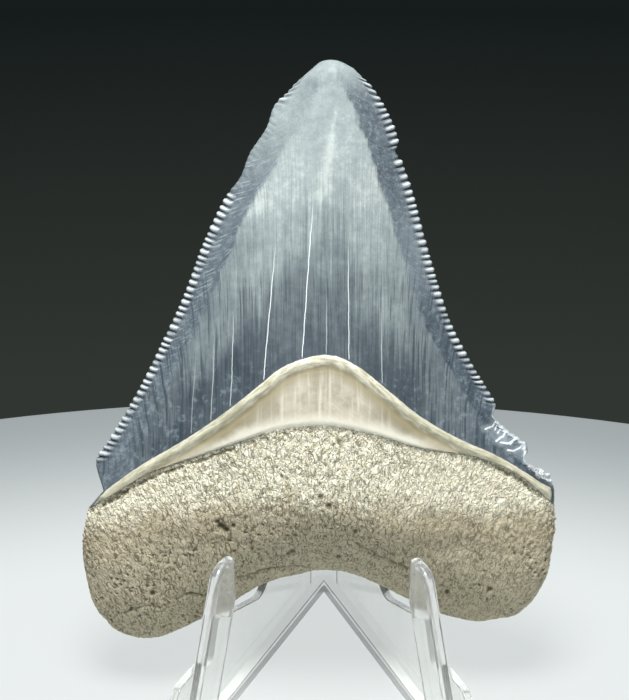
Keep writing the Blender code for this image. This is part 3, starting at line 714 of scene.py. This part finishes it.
# ---------------------------------------------------------------- materials
class Graph:
    """Short ways to build a material's nodes."""

    def __init__(self, name):
        self.material = bpy.data.materials.new(name)
        self.material.use_nodes = True
        self.tree = self.material.node_tree
        self.shader = self.tree.nodes["Principled BSDF"]

    def add(self, kind, inputs=(), **settings):
        node = self.tree.nodes.new(kind)
        for key, value in settings.items():
            setattr(node, key, value)
        for key, value in dict(inputs).items():
            self.put(node.inputs[key], value)
        return node

    def put(self, socket, value):
        if isinstance(value, bpy.types.NodeSocket):
            self.tree.links.new(value, socket)
        else:
            socket.default_value = value

    def math(self, operation, a, b=0.0, c=0.0):
        return self.add("ShaderNodeMath", {0: a, 1: b, 2: c}, operation=operation).outputs[0]

    def step(self, value, low, high, to_low=0.0, to_high=1.0):
        """Eased change of a value between low and high."""
        node = self.add("ShaderNodeMapRange", {0: value, 1: low, 2: high, 3: to_low, 4: to_high},
                        interpolation_type="SMOOTHSTEP")
        return node.outputs[0]

    def mix(self, factor, a, b, blend="MIX"):
        node = self.add("ShaderNodeMix", data_type="RGBA", blend_type=blend)
        node.clamp_factor = True
        for index, value in ((0, factor), (6, a), (7, b)):
            value = (*value, 1.0) if isinstance(value, tuple) and len(value) == 3 else value
            self.put(node.inputs[index], value)
        return node.outputs[2]

    def stored(self, name, vector=False):
        node = self.add("ShaderNodeAttribute", attribute_name=name, attribute_type="GEOMETRY")
        return node.outputs["Vector" if vector else "Fac"]

    def sum(self, *values):
        total = values[0]
        for value in values[1:]:
            total = self.math("ADD", total, value)
        return total

    def centred(self, value):
        return self.math("SUBTRACT", value, 0.5)

    def streaks(self, across, up, fine, slow, seed):
        """Lengthwise streaks, centred on 0."""
        where = self.join(self.math("MULTIPLY", across, fine), seed, self.math("MULTIPLY", up, slow))
        return self.centred(self.noise(where, 1.0, 3.0, 0.6))

    def curve_of(self, value, low, high, points):
        """Value read off straight stretches between (place, value) points."""
        ramp = self.add("ShaderNodeValToRGB", {0: self.add("ShaderNodeMapRange", {0: value, 1: low, 2: high}).outputs[0]})
        fill_ramp(ramp, [((at - low) / (high - low), result) for at, result in points])
        return ramp.outputs[0]

    def mix_value(self, factor, a, b):
        return self.add("ShaderNodeMix", {0: factor, 2: a, 3: b}, data_type="FLOAT").outputs[0]

    def segment(self, x, z, ax, az, bx, bz):
        """Distance from a straight stretch between two places."""
        dx, dz = bx - ax, bz - az
        reach = dx * dx + dz * dz
        lead = self.math("MULTIPLY_ADD", x, dx / reach, -(ax * dx + az * dz) / reach)
        share = self.add("ShaderNodeClamp", {0: self.math("MULTIPLY_ADD", z, dz / reach, lead)}).outputs[0]
        off_x = self.math("SUBTRACT", x, self.math("MULTIPLY_ADD", share, dx, ax))
        off_z = self.math("SUBTRACT", z, self.math("MULTIPLY_ADD", share, dz, az))
        return self.add("ShaderNodeVectorMath", {0: self.join(off_x, 0.0, off_z)}, operation="LENGTH").outputs["Value"]

    def noise_colour(self, vector, scale):
        """Small wandering offset for a place."""
        node = self.add("ShaderNodeTexNoise", {"Vector": vector, "Scale": scale, "Detail": 1.0})
        less = self.add("ShaderNodeVectorMath", {0: node.outputs["Color"], 1: (0.5, 0.5, 0.5)}, operation="SUBTRACT")
        more = self.add("ShaderNodeVectorMath", {0: less.outputs[0], "Scale": 0.9}, operation="SCALE")
        return more.outputs[0]

    def split(self, vector):
        return self.add("ShaderNodeSeparateXYZ", {0: vector}).outputs

    def join(self, x, y, z):
        return self.add("ShaderNodeCombineXYZ", {0: x, 1: y, 2: z}).outputs[0]

    def noise(self, vector, scale, detail=2.0, roughness=0.5, distortion=0.0):
        node = self.add("ShaderNodeTexNoise", {"Vector": vector, "Scale": scale, "Detail": detail,
                                               "Roughness": roughness, "Distortion": distortion})
        return node.outputs["Fac"]

    def cells(self, vector, scale, feature="F1"):
        node = self.add("ShaderNodeTexVoronoi", {"Vector": vector, "Scale": scale}, feature=feature)
        return node.outputs["Distance"]


def shade(red, green, blue):
    """Linear colour from 0 to 255 screen values."""
    return tuple(((v / 255 + 0.055) / 1.055) ** 2.4 if v > 10 else v / 255 / 12.92 for v in (red, green, blue))


def fill_ramp(ramp, stops):
    """Sets a ramp to these (place, screen colour or plain value) stops, in order."""
    elements = ramp.color_ramp.elements
    while len(elements) < len(stops):
        elements.new(0.5)
    for element, (place, _) in zip(reversed(elements), reversed(stops)):
        element.position = 1.0
    for element, (place, colour) in zip(elements, stops):
        element.position = place
        element.color = (colour,) * 3 + (1.0,) if isinstance(colour, float) else (*shade(*colour), 1.0)


# Hairline cracks of the enamel: top X, Z, bottom X, Z, strength.
HAIRLINES = [(-1.7, 63.6, -3.2, 42.2, 1.0), (-7.0, 57.6, -8.7, 39.0, 0.9), (3.3, 58.2, 3.4, 41.4, 0.8),
             (-13.0, 48.5, -13.5, 35.0, 0.55), (-15.8, 45.0, -16.3, 33.2, 0.4), (0.2, 52.0, 0.2, 42.0, 0.4),
             (8.1, 48.5, 8.1, 37.2, 0.45), (-18.6, 42.0, -19.2, 31.5, 0.25)]


def fossil_material():
    """Blue-grey enamel with pale streaks, a tan band with a fibrous rim, and a rough cream root."""
    g = Graph("fossil_tooth")
    spot = g.stored("spot", True)
    x, y, z = g.split(spot)[0:3]
    far = g.stored("edge_far")
    border = g.stored("border")
    rough = g.stored("rough")
    hollow = g.stored("hollow")
    bead = g.stored("bead")
    face = g.stored("face")
    flaked = g.stored("flaked")
    front = g.step(face, -0.2, 0.2)

    # Lengthwise flow of the enamel, bending outward at the cutting edges.
    side = g.math("SIGN", x)
    bend = g.math("MULTIPLY", side, g.math("MULTIPLY", g.math("EXPONENT", g.math("MULTIPLY", far, -0.3)), -1.6))
    flow_x = g.math("ADD", x, bend)
    broad = g.streaks(flow_x, z, 0.8, 0.025, 0.0)
    medium = g.streaks(flow_x, z, 2.4, 0.06, 3.0)
    fine = g.streaks(flow_x, z, 6.0, 0.14, 7.0)
    cloud = g.centred(g.noise(spot, 0.12, 3.0, 0.6))
    mottle = g.centred(g.noise(spot, 0.9, 4.0, 0.65))
    speckle = g.centred(g.noise(spot, 4.5, 3.0, 0.7))
    # The pale zone and the dark V below it reach into each other in long fingers.
    ragged_z = g.sum(z, g.math("MULTIPLY", broad, 17.0), g.math("MULTIPLY", medium, 8.0), g.math("MULTIPLY", fine, 4.0),
                     g.math("MULTIPLY", cloud, 9.0))
    tone = g.curve_of(ragged_z, 24.0, 90.0, [(28.0, 0.36), (38.0, 0.46), (46.0, 0.57), (52.0, 0.66), (58.0, 0.76),
                                              (65.0, 0.86), (71.0, 0.83), (77.0, 0.8), (84.0, 0.81)])
    wide = g.math("MULTIPLY", g.math("SUBTRACT", 62.5, ragged_z), 0.6)
    centre_off = g.math("ABSOLUTE", g.math("MULTIPLY_ADD", g.math("SUBTRACT", 62.5, z), 0.1, x))
    in_v = g.step(g.math("SUBTRACT", wide, centre_off), -2.0, 2.2)
    depth_v = g.step(z, 64.0, 50.0, 0.08, 0.2)
    tone = g.math("SUBTRACT", tone, g.math("MULTIPLY", in_v, depth_v))
    tone = g.mix_value(front, g.step(ragged_z, 30.0, 80.0, 0.25, 0.75), tone)
    # Streaks fade into a frosted, speckled tip.
    high = g.step(z, 64.0, 74.0)
    streaky = g.math("MULTIPLY_ADD", high, -0.75, 1.0)
    lines_in = g.math("ADD", g.math("MULTIPLY", medium, 0.26), g.math("MULTIPLY", fine, 0.32))
    dapple = g.math("ADD", g.math("MULTIPLY", mottle, 0.36), g.math("MULTIPLY", speckle, 0.22))
    tone = g.sum(tone, g.math("MULTIPLY", lines_in, streaky), g.math("MULTIPLY", cloud, 0.4),
                 g.math("MULTIPLY", dapple, g.math("MULTIPLY_ADD", high, 0.1, 1.0)))
    right_glow = g.math("MULTIPLY", g.step(x, 2.5, 6.0), g.math("MULTIPLY", g.step(z, 50.0, 58.0), g.step(z, 70.0, 64.0)))
    tone = g.math("ADD", tone, g.math("MULTIPLY", right_glow, 0.12))
    # Bright streak down the middle below the tip.
    shine_x = g.math("MULTIPLY_ADD", z, 0.15, -9.9)
    shine_off = g.math("ABSOLUTE", g.math("SUBTRACT", x, shine_x))
    shine_wide = g.step(z, 78.0, 62.0, 0.25, 1.3)
    shine = g.math("MULTIPLY", g.math("EXPONENT", g.math("MULTIPLY", g.math("POWER", g.math("DIVIDE", shine_off, shine_wide), 2.0), -1.0)),
                   g.math("MULTIPLY", g.step(z, 79.0, 72.0), g.step(z, 58.0, 66.0)))
    tone = g.math("ADD", tone, g.math("MULTIPLY", g.math("MULTIPLY", shine, front), 0.16))
    ramp = g.add("ShaderNodeValToRGB", {0: tone})
    fill_ramp(ramp, [(0.0, (50, 60, 69)), (0.3, (82, 92, 99)), (0.6, (119, 130, 133)), (0.85, (153, 164, 165)),
                     (1.0, (186, 196, 193))])
    enamel = ramp.outputs[0]

    # Darker blue along the cutting edges, with slanting pale scratches, paler again where worn near the tip.
    wobble = g.sum(g.math("MULTIPLY", g.centred(g.noise(spot, 0.3, 4.0, 0.6)), 3.0), g.math("MULTIPLY", medium, 1.5))
    in_edge = g.step(g.math("ADD", far, wobble), 4.9, 3.9)
    # The scratches lie nearly square to the edge and curve up toward the middle.
    curl = g.math("MULTIPLY", far, g.math("MULTIPLY_ADD", far, 0.1, 0.2))
    slant = g.math("SUBTRACT", z, curl)
    run = g.math("MULTIPLY_ADD", z, 0.05, g.math("MULTIPLY", far, 0.4))
    scratch = g.noise(g.join(g.math("MULTIPLY", slant, 2.9), side, run), 1.0, 3.0, 0.7)
    blotch = g.noise(spot, 0.6, 4.0, 0.7)
    edge_blue = g.mix(g.step(blotch, 0.35, 0.65), shade(55, 66, 78), shade(86, 97, 107))
    paler = g.math("MULTIPLY", g.step(z, 44.0, 54.0, 0.0, 0.3), g.math("MULTIPLY", g.step(z, 66.0, 58.0), g.step(x, 0.0, 4.0)))
    edge_blue = g.mix(paler, edge_blue, shade(158, 170, 176))
    edge_blue = g.mix(g.step(x, 0.0, -8.0, 0.0, 0.3), edge_blue, shade(122, 133, 140))
    arcs = g.math("MULTIPLY", g.step(x, 4.0, -4.0, 0.26, 0.85), g.step(z, 36.0, 46.0, 0.3, 1.0))
    edge_blue = g.mix(g.math("MULTIPLY", g.step(scratch, 0.52, 0.7), arcs), edge_blue, shade(172, 184, 189))
    edge_blue = g.mix(g.step(g.noise(spot, 1.3, 4.0, 0.7), 0.5, 0.68, 0.0, 0.4), edge_blue, shade(158, 170, 177))
    edge_blue = g.mix(g.step(speckle, 0.06, 0.25, 0.0, 0.4), edge_blue, shade(174, 185, 189))
    worn_left = g.math("MULTIPLY", g.step(z, 63.0, 75.0), g.step(x, 2.0, -4.0))
    worn = g.math("MAXIMUM", worn_left, g.step(z, 77.0, 82.0))
    edge_here = g.math("MULTIPLY", in_edge, g.math("SUBTRACT", 0.9, g.math("MULTIPLY", worn, 0.7)))
    enamel = g.mix(edge_here, enamel, edge_blue)

    # Dark curved lines low on both sides.
    low_side = g.math("MULTIPLY", g.step(g.math("ABSOLUTE", x), 6.0, 13.0), g.step(z, 56.0, 44.0))
    dark = g.noise(g.join(g.math("MULTIPLY", flow_x, 2.4), 11.0, g.math("MULTIPLY", z, 0.09)), 1.0, 1.5, 0.5)
    dark = g.math("MULTIPLY", g.step(dark, 0.46, 0.34), low_side)
    enamel = g.mix(g.math("MULTIPLY", dark, 0.75), enamel, shade(52, 64, 74))
    thin_dark = g.noise(g.join(g.math("MULTIPLY", flow_x, 5.2), 17.0, g.math("MULTIPLY", z, 0.13)), 1.0, 1.5, 0.5)
    thin_dark = g.math("MULTIPLY", g.step(thin_dark, 0.44, 0.36, 0.0, 0.65), g.step(z, 64.0, 48.0))
    enamel = g.mix(thin_dark, enamel, shade(66, 76, 82))
    dusty = g.math("MULTIPLY", g.step(mottle, 0.02, 0.2, 0.0, 0.5), g.step(z, 44.0, 34.0))
    enamel = g.mix(dusty, enamel, shade(138, 151, 158))

    # Serrations: pale crests, partly their own colour and partly painted highlight, and painted shadow in the gaps
    # between them.
    pale_and_lit_bead = g.math("MULTIPLY", g.step(bead, 0.2, 0.85, 0.0, 0.85), g.step(far, 1.3, 0.35, 0.35, 1.0))
    enamel = g.mix(pale_and_lit_bead, enamel, shade(214, 222, 224))
    enamel = g.mix(g.step(bead, -0.02, -0.3, 0.0, 0.8), enamel, shade(34, 42, 50))
    enamel = g.mix(g.math("MULTIPLY", flaked, 0.4), enamel, shade(150, 160, 172))
    away = None
    for corners in CRESTS:
        for (ax, az), (bx, bz) in zip(corners[:-1], corners[1:]):
            here = g.segment(x, z, ax, az, bx, bz)
            away = here if away is None else g.math("MINIMUM", away, here)
    away = g.math("ADD", away, g.math("MULTIPLY", speckle, 0.14))
    veil = g.math("MULTIPLY", g.step(away, 0.9, 0.15, 0.0, 0.32), front)
    enamel = g.mix(veil, enamel, shade(176, 188, 194))
    crest = g.math("MULTIPLY", g.step(away, 0.17, 0.07, 0.0, 0.92), front)
    enamel = g.mix(crest, enamel, shade(240, 246, 248))
    torn = g.math("MULTIPLY", g.step(g.math("MULTIPLY_ADD", mottle, 0.9, far), 0.5, 0.2), g.step(z, 34.2, 33.0))
    torn = g.math("MULTIPLY", torn, g.step(x, 22.0, 24.0, 0.0, 0.8))
    enamel = g.mix(torn, enamel, shade(206, 216, 221))
    # Painted shadow: the enamel beside the broken right corner is darkened; chipped white crust lies over it.
    corner = g.math("MULTIPLY", g.step(x, 29.2, 29.8), front)
    enamel = g.mix(g.math("MULTIPLY", corner, 0.8), enamel, shade(62, 70, 76))
    chips = g.math("MULTIPLY", corner, g.step(g.math("MULTIPLY_ADD", mottle, 1.6, border), 0.45, 0.85))
    crust = g.mix(g.step(speckle, -0.1, 0.1), shade(168, 176, 178), shade(232, 237, 236))
    enamel = g.mix(chips, enamel, crust)

    # Hairlines.
    sway = g.math("MULTIPLY", g.centred(g.noise(g.join(0.0, 0.0, z), 0.22, 4.0, 0.6)), 0.55)
    lines = None
    for number, (top_x, top_z, low_x, low_z, strength) in enumerate(HAIRLINES):
        lean = (top_x - low_x) / (top_z - low_z)
        centre = g.math("MULTIPLY_ADD", z, lean, low_x - lean * low_z)
        off = g.math("ABSOLUTE", g.math("SUBTRACT", g.math("SUBTRACT", x, centre), sway))
        line = g.step(off, 0.085, 0.04, 0.0, strength)
        line = g.math("MULTIPLY", line, g.step(z, top_z + 2.0, top_z - 7.0))
        lines = line if lines is None else g.math("MAXIMUM", lines, line)
    lines = g.math("MULTIPLY", lines, g.math("MULTIPLY", front, g.step(border, 0.1, 0.5)))
    enamel = g.mix(lines, enamel, shade(240, 246, 248))

    # Band under the enamel: cream rim, olive groove (partly its own colour, partly painted shadow under the rim), tan
    # with faint upright streaks, pale foot.
    streak = g.noise(g.join(g.math("MULTIPLY", x, 0.9), 0.0, g.math("MULTIPLY", z, 0.06)), 1.0, 3.0, 0.6)
    patchy = g.noise(spot, 0.35, 3.0, 0.6)
    band = g.mix(g.step(patchy, 0.35, 0.65), shade(170, 163, 144), shade(195, 189, 171))
    band = g.mix(g.step(streak, 0.48, 0.68, 0.0, 0.7), band, shade(226, 222, 206))
    aside = g.step(g.math("ABSOLUTE", x), 5.0, 14.0, 0.0, 0.9)
    band = g.mix(aside, band, g.mix(g.step(x, 0.0, 12.0), shade(142, 136, 112), shade(116, 112, 90)))
    foot = g.math("ADD", rough, g.math("MULTIPLY", g.centred(patchy), 2.0))
    band = g.mix(g.step(foot, 2.4, 0.5), band, shade(222, 219, 203))
    off_rim = g.math("ADD", border, g.math("MULTIPLY", g.centred(g.noise(spot, 0.7, 3.0)), 0.7))
    # Olive line under the rim: partly its own colour, partly painted shadow.
    band = g.mix(g.step(off_rim, -3.6, -1.8, 0.0, 0.75), band, shade(146, 136, 104))
    fibre = g.noise(g.join(g.math("MULTIPLY", x, 0.6), g.math("MULTIPLY", z, 0.25), g.math("MULTIPLY", border, 2.4)),
                    1.0, 3.0, 0.6)
    rim = g.mix(g.step(fibre, 0.35, 0.65), shade(178, 173, 146), shade(230, 227, 208))
    rim = g.mix(g.step(off_rim, -0.35, 0.0, 0.0, 0.7), rim, shade(240, 238, 222))
    rim = g.mix(g.math("MULTIPLY", aside, 0.45), rim, shade(148, 148, 122))
    band = g.mix(g.step(off_rim, -1.65, -1.2), band, rim)

    # Root: cream grains with pale tufts and thin dark gaps, browner underneath; tufts, gaps and underside are partly
    # their own colour and partly painted light and shade.
    fan = g.math("MULTIPLY", x, g.math("MULTIPLY_ADD", rough, -FAN, 1.0))
    lie = g.join(fan, y, g.math("MULTIPLY", rough, 0.5))
    warp = g.add("ShaderNodeVectorMath", {0: g.noise_colour(spot, 1.1), 1: lie}, operation="ADD").outputs[0]
    grain = g.noise(warp, 2.6, 4.0, 0.7)
    worm = g.cells(warp, 1.75, "DISTANCE_TO_EDGE")
    gap = g.step(worm, 0.2, 0.06)
    felt = g.noise(warp, 1.4, 3.0, 0.65, 1.2)
    strokes = g.noise(warp, 2.9, 2.0, 0.6, 0.8)
    stain_and_shade_noise = g.centred(g.noise(spot, 0.16, 3.0, 0.6))
    below = g.math("SUBTRACT", z, g.math("MULTIPLY_ADD", g.math("MULTIPLY", x, x), -0.003, 20.8))
    under = g.step(g.math("MULTIPLY_ADD", stain_and_shade_noise, 9.0, below), 1.9, -3.0)
    # Pale tufts: partly their own colour, partly painted highlight on the grain tops.
    bone = g.mix(g.step(strokes, 0.42, 0.58), shade(232, 226, 196), shade(255, 254, 234))
    # Browner underneath: partly a stain, partly painted shade where the root turns down away from the light.
    bone = g.mix(g.math("MULTIPLY", under, 0.85), bone, shade(192, 181, 152))
    # Painted shade: the lobes are darker just where they turn under.
    painted_turn_shade = g.math("MULTIPLY", g.step(below, -8.5, -4.0), g.step(g.math("ABSOLUTE", x), 5.0, 14.0, 0.0, 0.42))
    bone = g.mix(g.math("MULTIPLY", under, painted_turn_shade), bone, shade(128, 120, 98))
    bone = g.mix(g.step(stain_and_shade_noise, 0.05, 0.2, 0.0, 0.25), bone, shade(214, 200, 176))
    # Dark gaps, pits and hollows: partly dirt, partly painted shade in the recesses.
    dark = g.math("MULTIPLY", gap, g.step(felt, 0.54, 0.42, 0.0, 0.74))
    dark = g.math("MAXIMUM", dark, g.step(strokes, 0.42, 0.34, 0.0, 0.6))
    dark = g.math("MULTIPLY", dark, g.step(x, 4.0, 18.0, 1.0, 0.75))
    pins = g.step(g.cells(g.join(x, y, g.math("MULTIPLY", z, 1.4)), 1.25), 0.2, 0.1)
    pins = g.math("MULTIPLY", pins, g.step(g.noise(spot, 0.45, 2.0), 0.42, 0.52))
    pins = g.math("MULTIPLY", pins, g.math("MULTIPLY_ADD", under, 0.6, 0.2))
    dark = g.math("MAXIMUM", g.math("MULTIPLY", dark, g.math("MULTIPLY_ADD", under, 0.1, 1.0)), pins)
    dark = g.math("MAXIMUM", g.step(hollow, 0.35, 1.0, 0.0, 0.85), dark)
    bone = g.mix(dark, bone, g.mix(under, shade(104, 92, 66), shade(87, 78, 58)))

    # One skin: root, band, enamel by the stored distances from their borders.
    ragged = g.math("MULTIPLY", g.math("SUBTRACT", g.noise(spot, 2.2, 3.0), 0.5), 0.3)
    is_band = g.step(g.math("ADD", rough, ragged), -0.08, 0.08)
    is_enamel = g.step(g.math("ADD", border, g.math("MULTIPLY", ragged, 0.6)), -0.06, 0.06)
    neck_edge = g.math("MULTIPLY", g.step(far, 0.9, 0.5), g.step(rough, -0.2, 0.1))
    is_enamel = g.math("MAXIMUM", is_enamel, neck_edge)
    skin = g.mix(is_enamel, g.mix(is_band, bone, band), enamel)
    g.put(g.shader.inputs["Base Color"], skin)
    shine = g.math("ADD", g.math("MULTIPLY", is_enamel, -0.4), 0.82)
    shine = g.math("ADD", shine, g.math("MULTIPLY", g.math("SUBTRACT", medium, 0.5), 0.2))
    shine = g.math("ADD", shine, g.math("MULTIPLY", g.math("MULTIPLY", high, is_enamel), 0.3))
    g.put(g.shader.inputs["Roughness"], shine)
    g.shader.inputs["Specular IOR Level"].default_value = 0.45

    # Fine relief: grit on the root, fibres on the band, faint lengthwise lines in the enamel.
    coarse = g.math("MULTIPLY_ADD", under, -0.6, 1.0)
    grit = g.math("ADD", g.math("MULTIPLY", grain, 0.5), g.math("MULTIPLY", g.step(worm, 0.0, 0.3), 0.16))
    grit = g.math("MULTIPLY", grit, coarse)
    lined = g.math("ADD", g.math("MULTIPLY", fine, 0.02), g.math("MULTIPLY", scratch, g.math("MULTIPLY", in_edge, 0.05)))
    soft = g.math("ADD", g.math("MULTIPLY", fibre, 0.05), g.math("MULTIPLY", streak, 0.03))
    height = g.math("ADD", g.math("MULTIPLY", grit, g.math("SUBTRACT", 1.0, is_band)),
                    g.math("MULTIPLY", lined, is_enamel))
    height = g.math("ADD", height, g.math("MULTIPLY", soft, g.math("SUBTRACT", is_band, is_enamel)))
    bump = g.add("ShaderNodeBump", {"Strength": 1.0, "Distance": 0.001, "Height": height})
    g.put(g.shader.inputs["Normal"], bump.outputs[0])
    return g.material


def plastic_material():
    """Clear moulded plastic with faint flow marks."""
    g = Graph("clear_plastic")
    where = g.add("ShaderNodeTexCoord").outputs["Object"]
    flow = g.add("ShaderNodeMapping", {"Vector": where, "Scale": (500.0, 500.0, 60.0)}).outputs[0]
    marks = g.noise(flow, 1.0, 2.0, 0.5)
    broad = g.noise(where, 150.0, 2.0)
    g.shader.inputs["Base Color"].default_value = (0.975, 0.98, 0.965, 1.0)
    g.put(g.shader.inputs["Roughness"], g.step(marks, 0.3, 0.8, 0.06, 0.14))
    g.shader.inputs["IOR"].default_value = 1.49
    g.shader.inputs["Transmission Weight"].default_value = 0.9
    height = g.math("ADD", g.math("MULTIPLY", marks, 0.01), g.math("MULTIPLY", broad, 0.03))
    bump = g.add("ShaderNodeBump", {"Strength": 1.0, "Distance": 0.001, "Height": height})
    g.put(g.shader.inputs["Normal"], bump.outputs[0])
    # Lamps shine through it, so that what it stands on is lit.
    clear = g.add("ShaderNodeBsdfTransparent", {"Color": (0.9, 0.92, 0.91, 1.0)})
    both = g.add("ShaderNodeMixShader", {0: g.add("ShaderNodeLightPath").outputs["Is Shadow Ray"],
                                         1: g.shader.outputs[0], 2: clear.outputs[0]})
    g.put(g.tree.nodes["Material Output"].inputs["Surface"], both.outputs[0])
    return g.material


tooth = make_tooth()
tooth.data.materials.append(fossil_material())
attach(tooth, "root")
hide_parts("tooth")

stand = make_stand()
stand.data.materials.append(plastic_material())
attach(stand, "root")
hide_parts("stand")

# ---------------------------------------------------------------- table
TABLE_RADIUS = 0.227
TABLE_CENTRE = (-0.002, -0.146)
# The plastic keeps a film of air to the table, so that its underside reflects inside.
TABLE_TOP = -0.00006


def make_table():
    """Round white table top with a softly rounded rim."""
    work = bmesh.new()
    rings = []
    profile = [(TABLE_RADIUS - 0.02, 0.0), (TABLE_RADIUS - 0.004, -0.0001), (TABLE_RADIUS - 0.0015, -0.0009),
               (TABLE_RADIUS, -0.003), (TABLE_RADIUS, -0.02)]
    count = 240
    for radius, height in profile:
        rings.append([work.verts.new((TABLE_CENTRE[0] + radius * math.cos(math.tau * k / count),
                                      TABLE_CENTRE[1] + radius * math.sin(math.tau * k / count), TABLE_TOP + height))
                      for k in range(count)])
    work.faces.new(rings[0])
    for inner, outer in zip(rings[:-1], rings[1:]):
        for k in range(count):
            n = (k + 1) % count
            work.faces.new((inner[k], outer[k], outer[n], inner[n]))
    bmesh.ops.recalc_face_normals(work, faces=work.faces)
    return finish_mesh("table_top", work)


floor = make_table()
floor.data.shade_smooth()
g = Graph("glowing_white_table")
place = g.add("ShaderNodeTexCoord").outputs["Object"]
off = g.add("ShaderNodeVectorMath", {0: place, 1: (*TABLE_CENTRE, 0.0)}, operation="SUBTRACT").outputs[0]
out = g.add("ShaderNodeVectorMath", {0: off}, operation="LENGTH").outputs["Value"]
# Painted light: the table top glows though it is no lamp, and its colour and glow darken toward the rim as painted
# falloff of the light.
rim_falloff = g.step(out, TABLE_RADIUS - 0.06, TABLE_RADIUS - 0.002)
g.put(g.shader.inputs["Base Color"], g.mix(rim_falloff, (0.11, 0.115, 0.115), (0.04, 0.045, 0.045)))
g.put(g.shader.inputs["Emission Color"], g.mix(rim_falloff, (0.63, 0.665, 0.66), (0.29, 0.32, 0.33)))
g.shader.inputs["Emission Strength"].default_value = 1.0
g.shader.inputs["Roughness"].default_value = 0.5
floor.data.materials.append(g.material)

# ---------------------------------------------------------------- light
world = bpy.data.worlds.new("studio")
bpy.context.scene.world = world
world.use_nodes = True
nodes = world.node_tree.nodes
links = world.node_tree.links
backing = nodes["Background"]
look = nodes.new("ShaderNodeTexCoord")
parts = nodes.new("ShaderNodeSeparateXYZ")
links.new(look.outputs["Generated"], parts.inputs[0])


def world_range(socket, low, high):
    """Part of a direction, stretched to 0 to 1."""
    node = nodes.new("ShaderNodeMapRange")
    node.inputs[1].default_value = low
    node.inputs[2].default_value = high
    links.new(parts.outputs[socket], node.inputs[0])
    return node.outputs[0]


def world_ramp(stops):
    """Brightness by height."""
    node = nodes.new("ShaderNodeValToRGB")
    links.new(world_range("Z", -1.0, 1.0), node.inputs[0])
    fill_ramp(node, stops)
    return node.outputs[0]


# A dark backdrop behind the table, a paler room in front of it.
behind = world_ramp([(0.0, (50, 54, 50)), (0.26, (50, 54, 50)), (0.34, (22, 28, 28)), (0.4, (36, 40, 40)),
                     (0.47, (112, 115, 116)), (0.7, (128, 131, 134)), (1.0, (136, 140, 146))])
ahead = world_ramp([(0.0, (120, 124, 124)), (0.5, (140, 145, 146)), (0.7, (120, 125, 128)), (1.0, (130, 134, 140))])
room = nodes.new("ShaderNodeMix")
room.data_type = "RGBA"
links.new(world_range("Y", 0.15, -0.35), room.inputs[0])
links.new(behind, room.inputs[6])
links.new(ahead, room.inputs[7])
links.new(room.outputs[2], backing.inputs["Color"])
backing.inputs["Strength"].default_value = 1.0


def area_light(name, place_at, aim, size, power, colour):
    """Soft square lamp looking at a point."""
    lamp = bpy.data.lights.new(name, "AREA")
    lamp.shape = "SQUARE"
    lamp.size = size
    lamp.energy = power
    lamp.color = colour
    holder = bpy.data.objects.new(name, lamp)
    bpy.context.scene.collection.objects.link(holder)
    holder.location = place_at
    holder.rotation_euler = (Vector(aim) - Vector(place_at)).to_track_quat("-Z", "Y").to_euler()
    return holder


area_light("key", (-0.02, -0.045, 0.4), (0.0, -0.005, 0.04), 0.16, 2.35, (1.0, 0.995, 0.98))

# ---------------------------------------------------------------- camera
AIM = Vector((-0.7301, 7.5722, 48.1708)) * MM
DOWN = math.radians(28.0)
AWAY = 0.3
toward = Matrix.Rotation(TURN, 3, "Z") @ Vector((0.0, math.cos(DOWN), -math.sin(DOWN)))
lens = bpy.data.cameras.new("view")
lens.sensor_fit = "VERTICAL"
lens.sensor_height = 36.0
lens.sensor_width = 36.0 * 629 / 700
lens.lens = 36.0 * (AWAY / MM / 0.145) / 700
lens.clip_start = 0.01
camera = bpy.data.objects.new("view", lens)
bpy.context.scene.collection.objects.link(camera)
camera.location = AIM - toward * AWAY
camera.rotation_euler = toward.to_track_quat("-Z", "Y").to_euler()
bpy.context.scene.camera = camera
bpy.context.scene.view_settings.view_transform = "Standard"
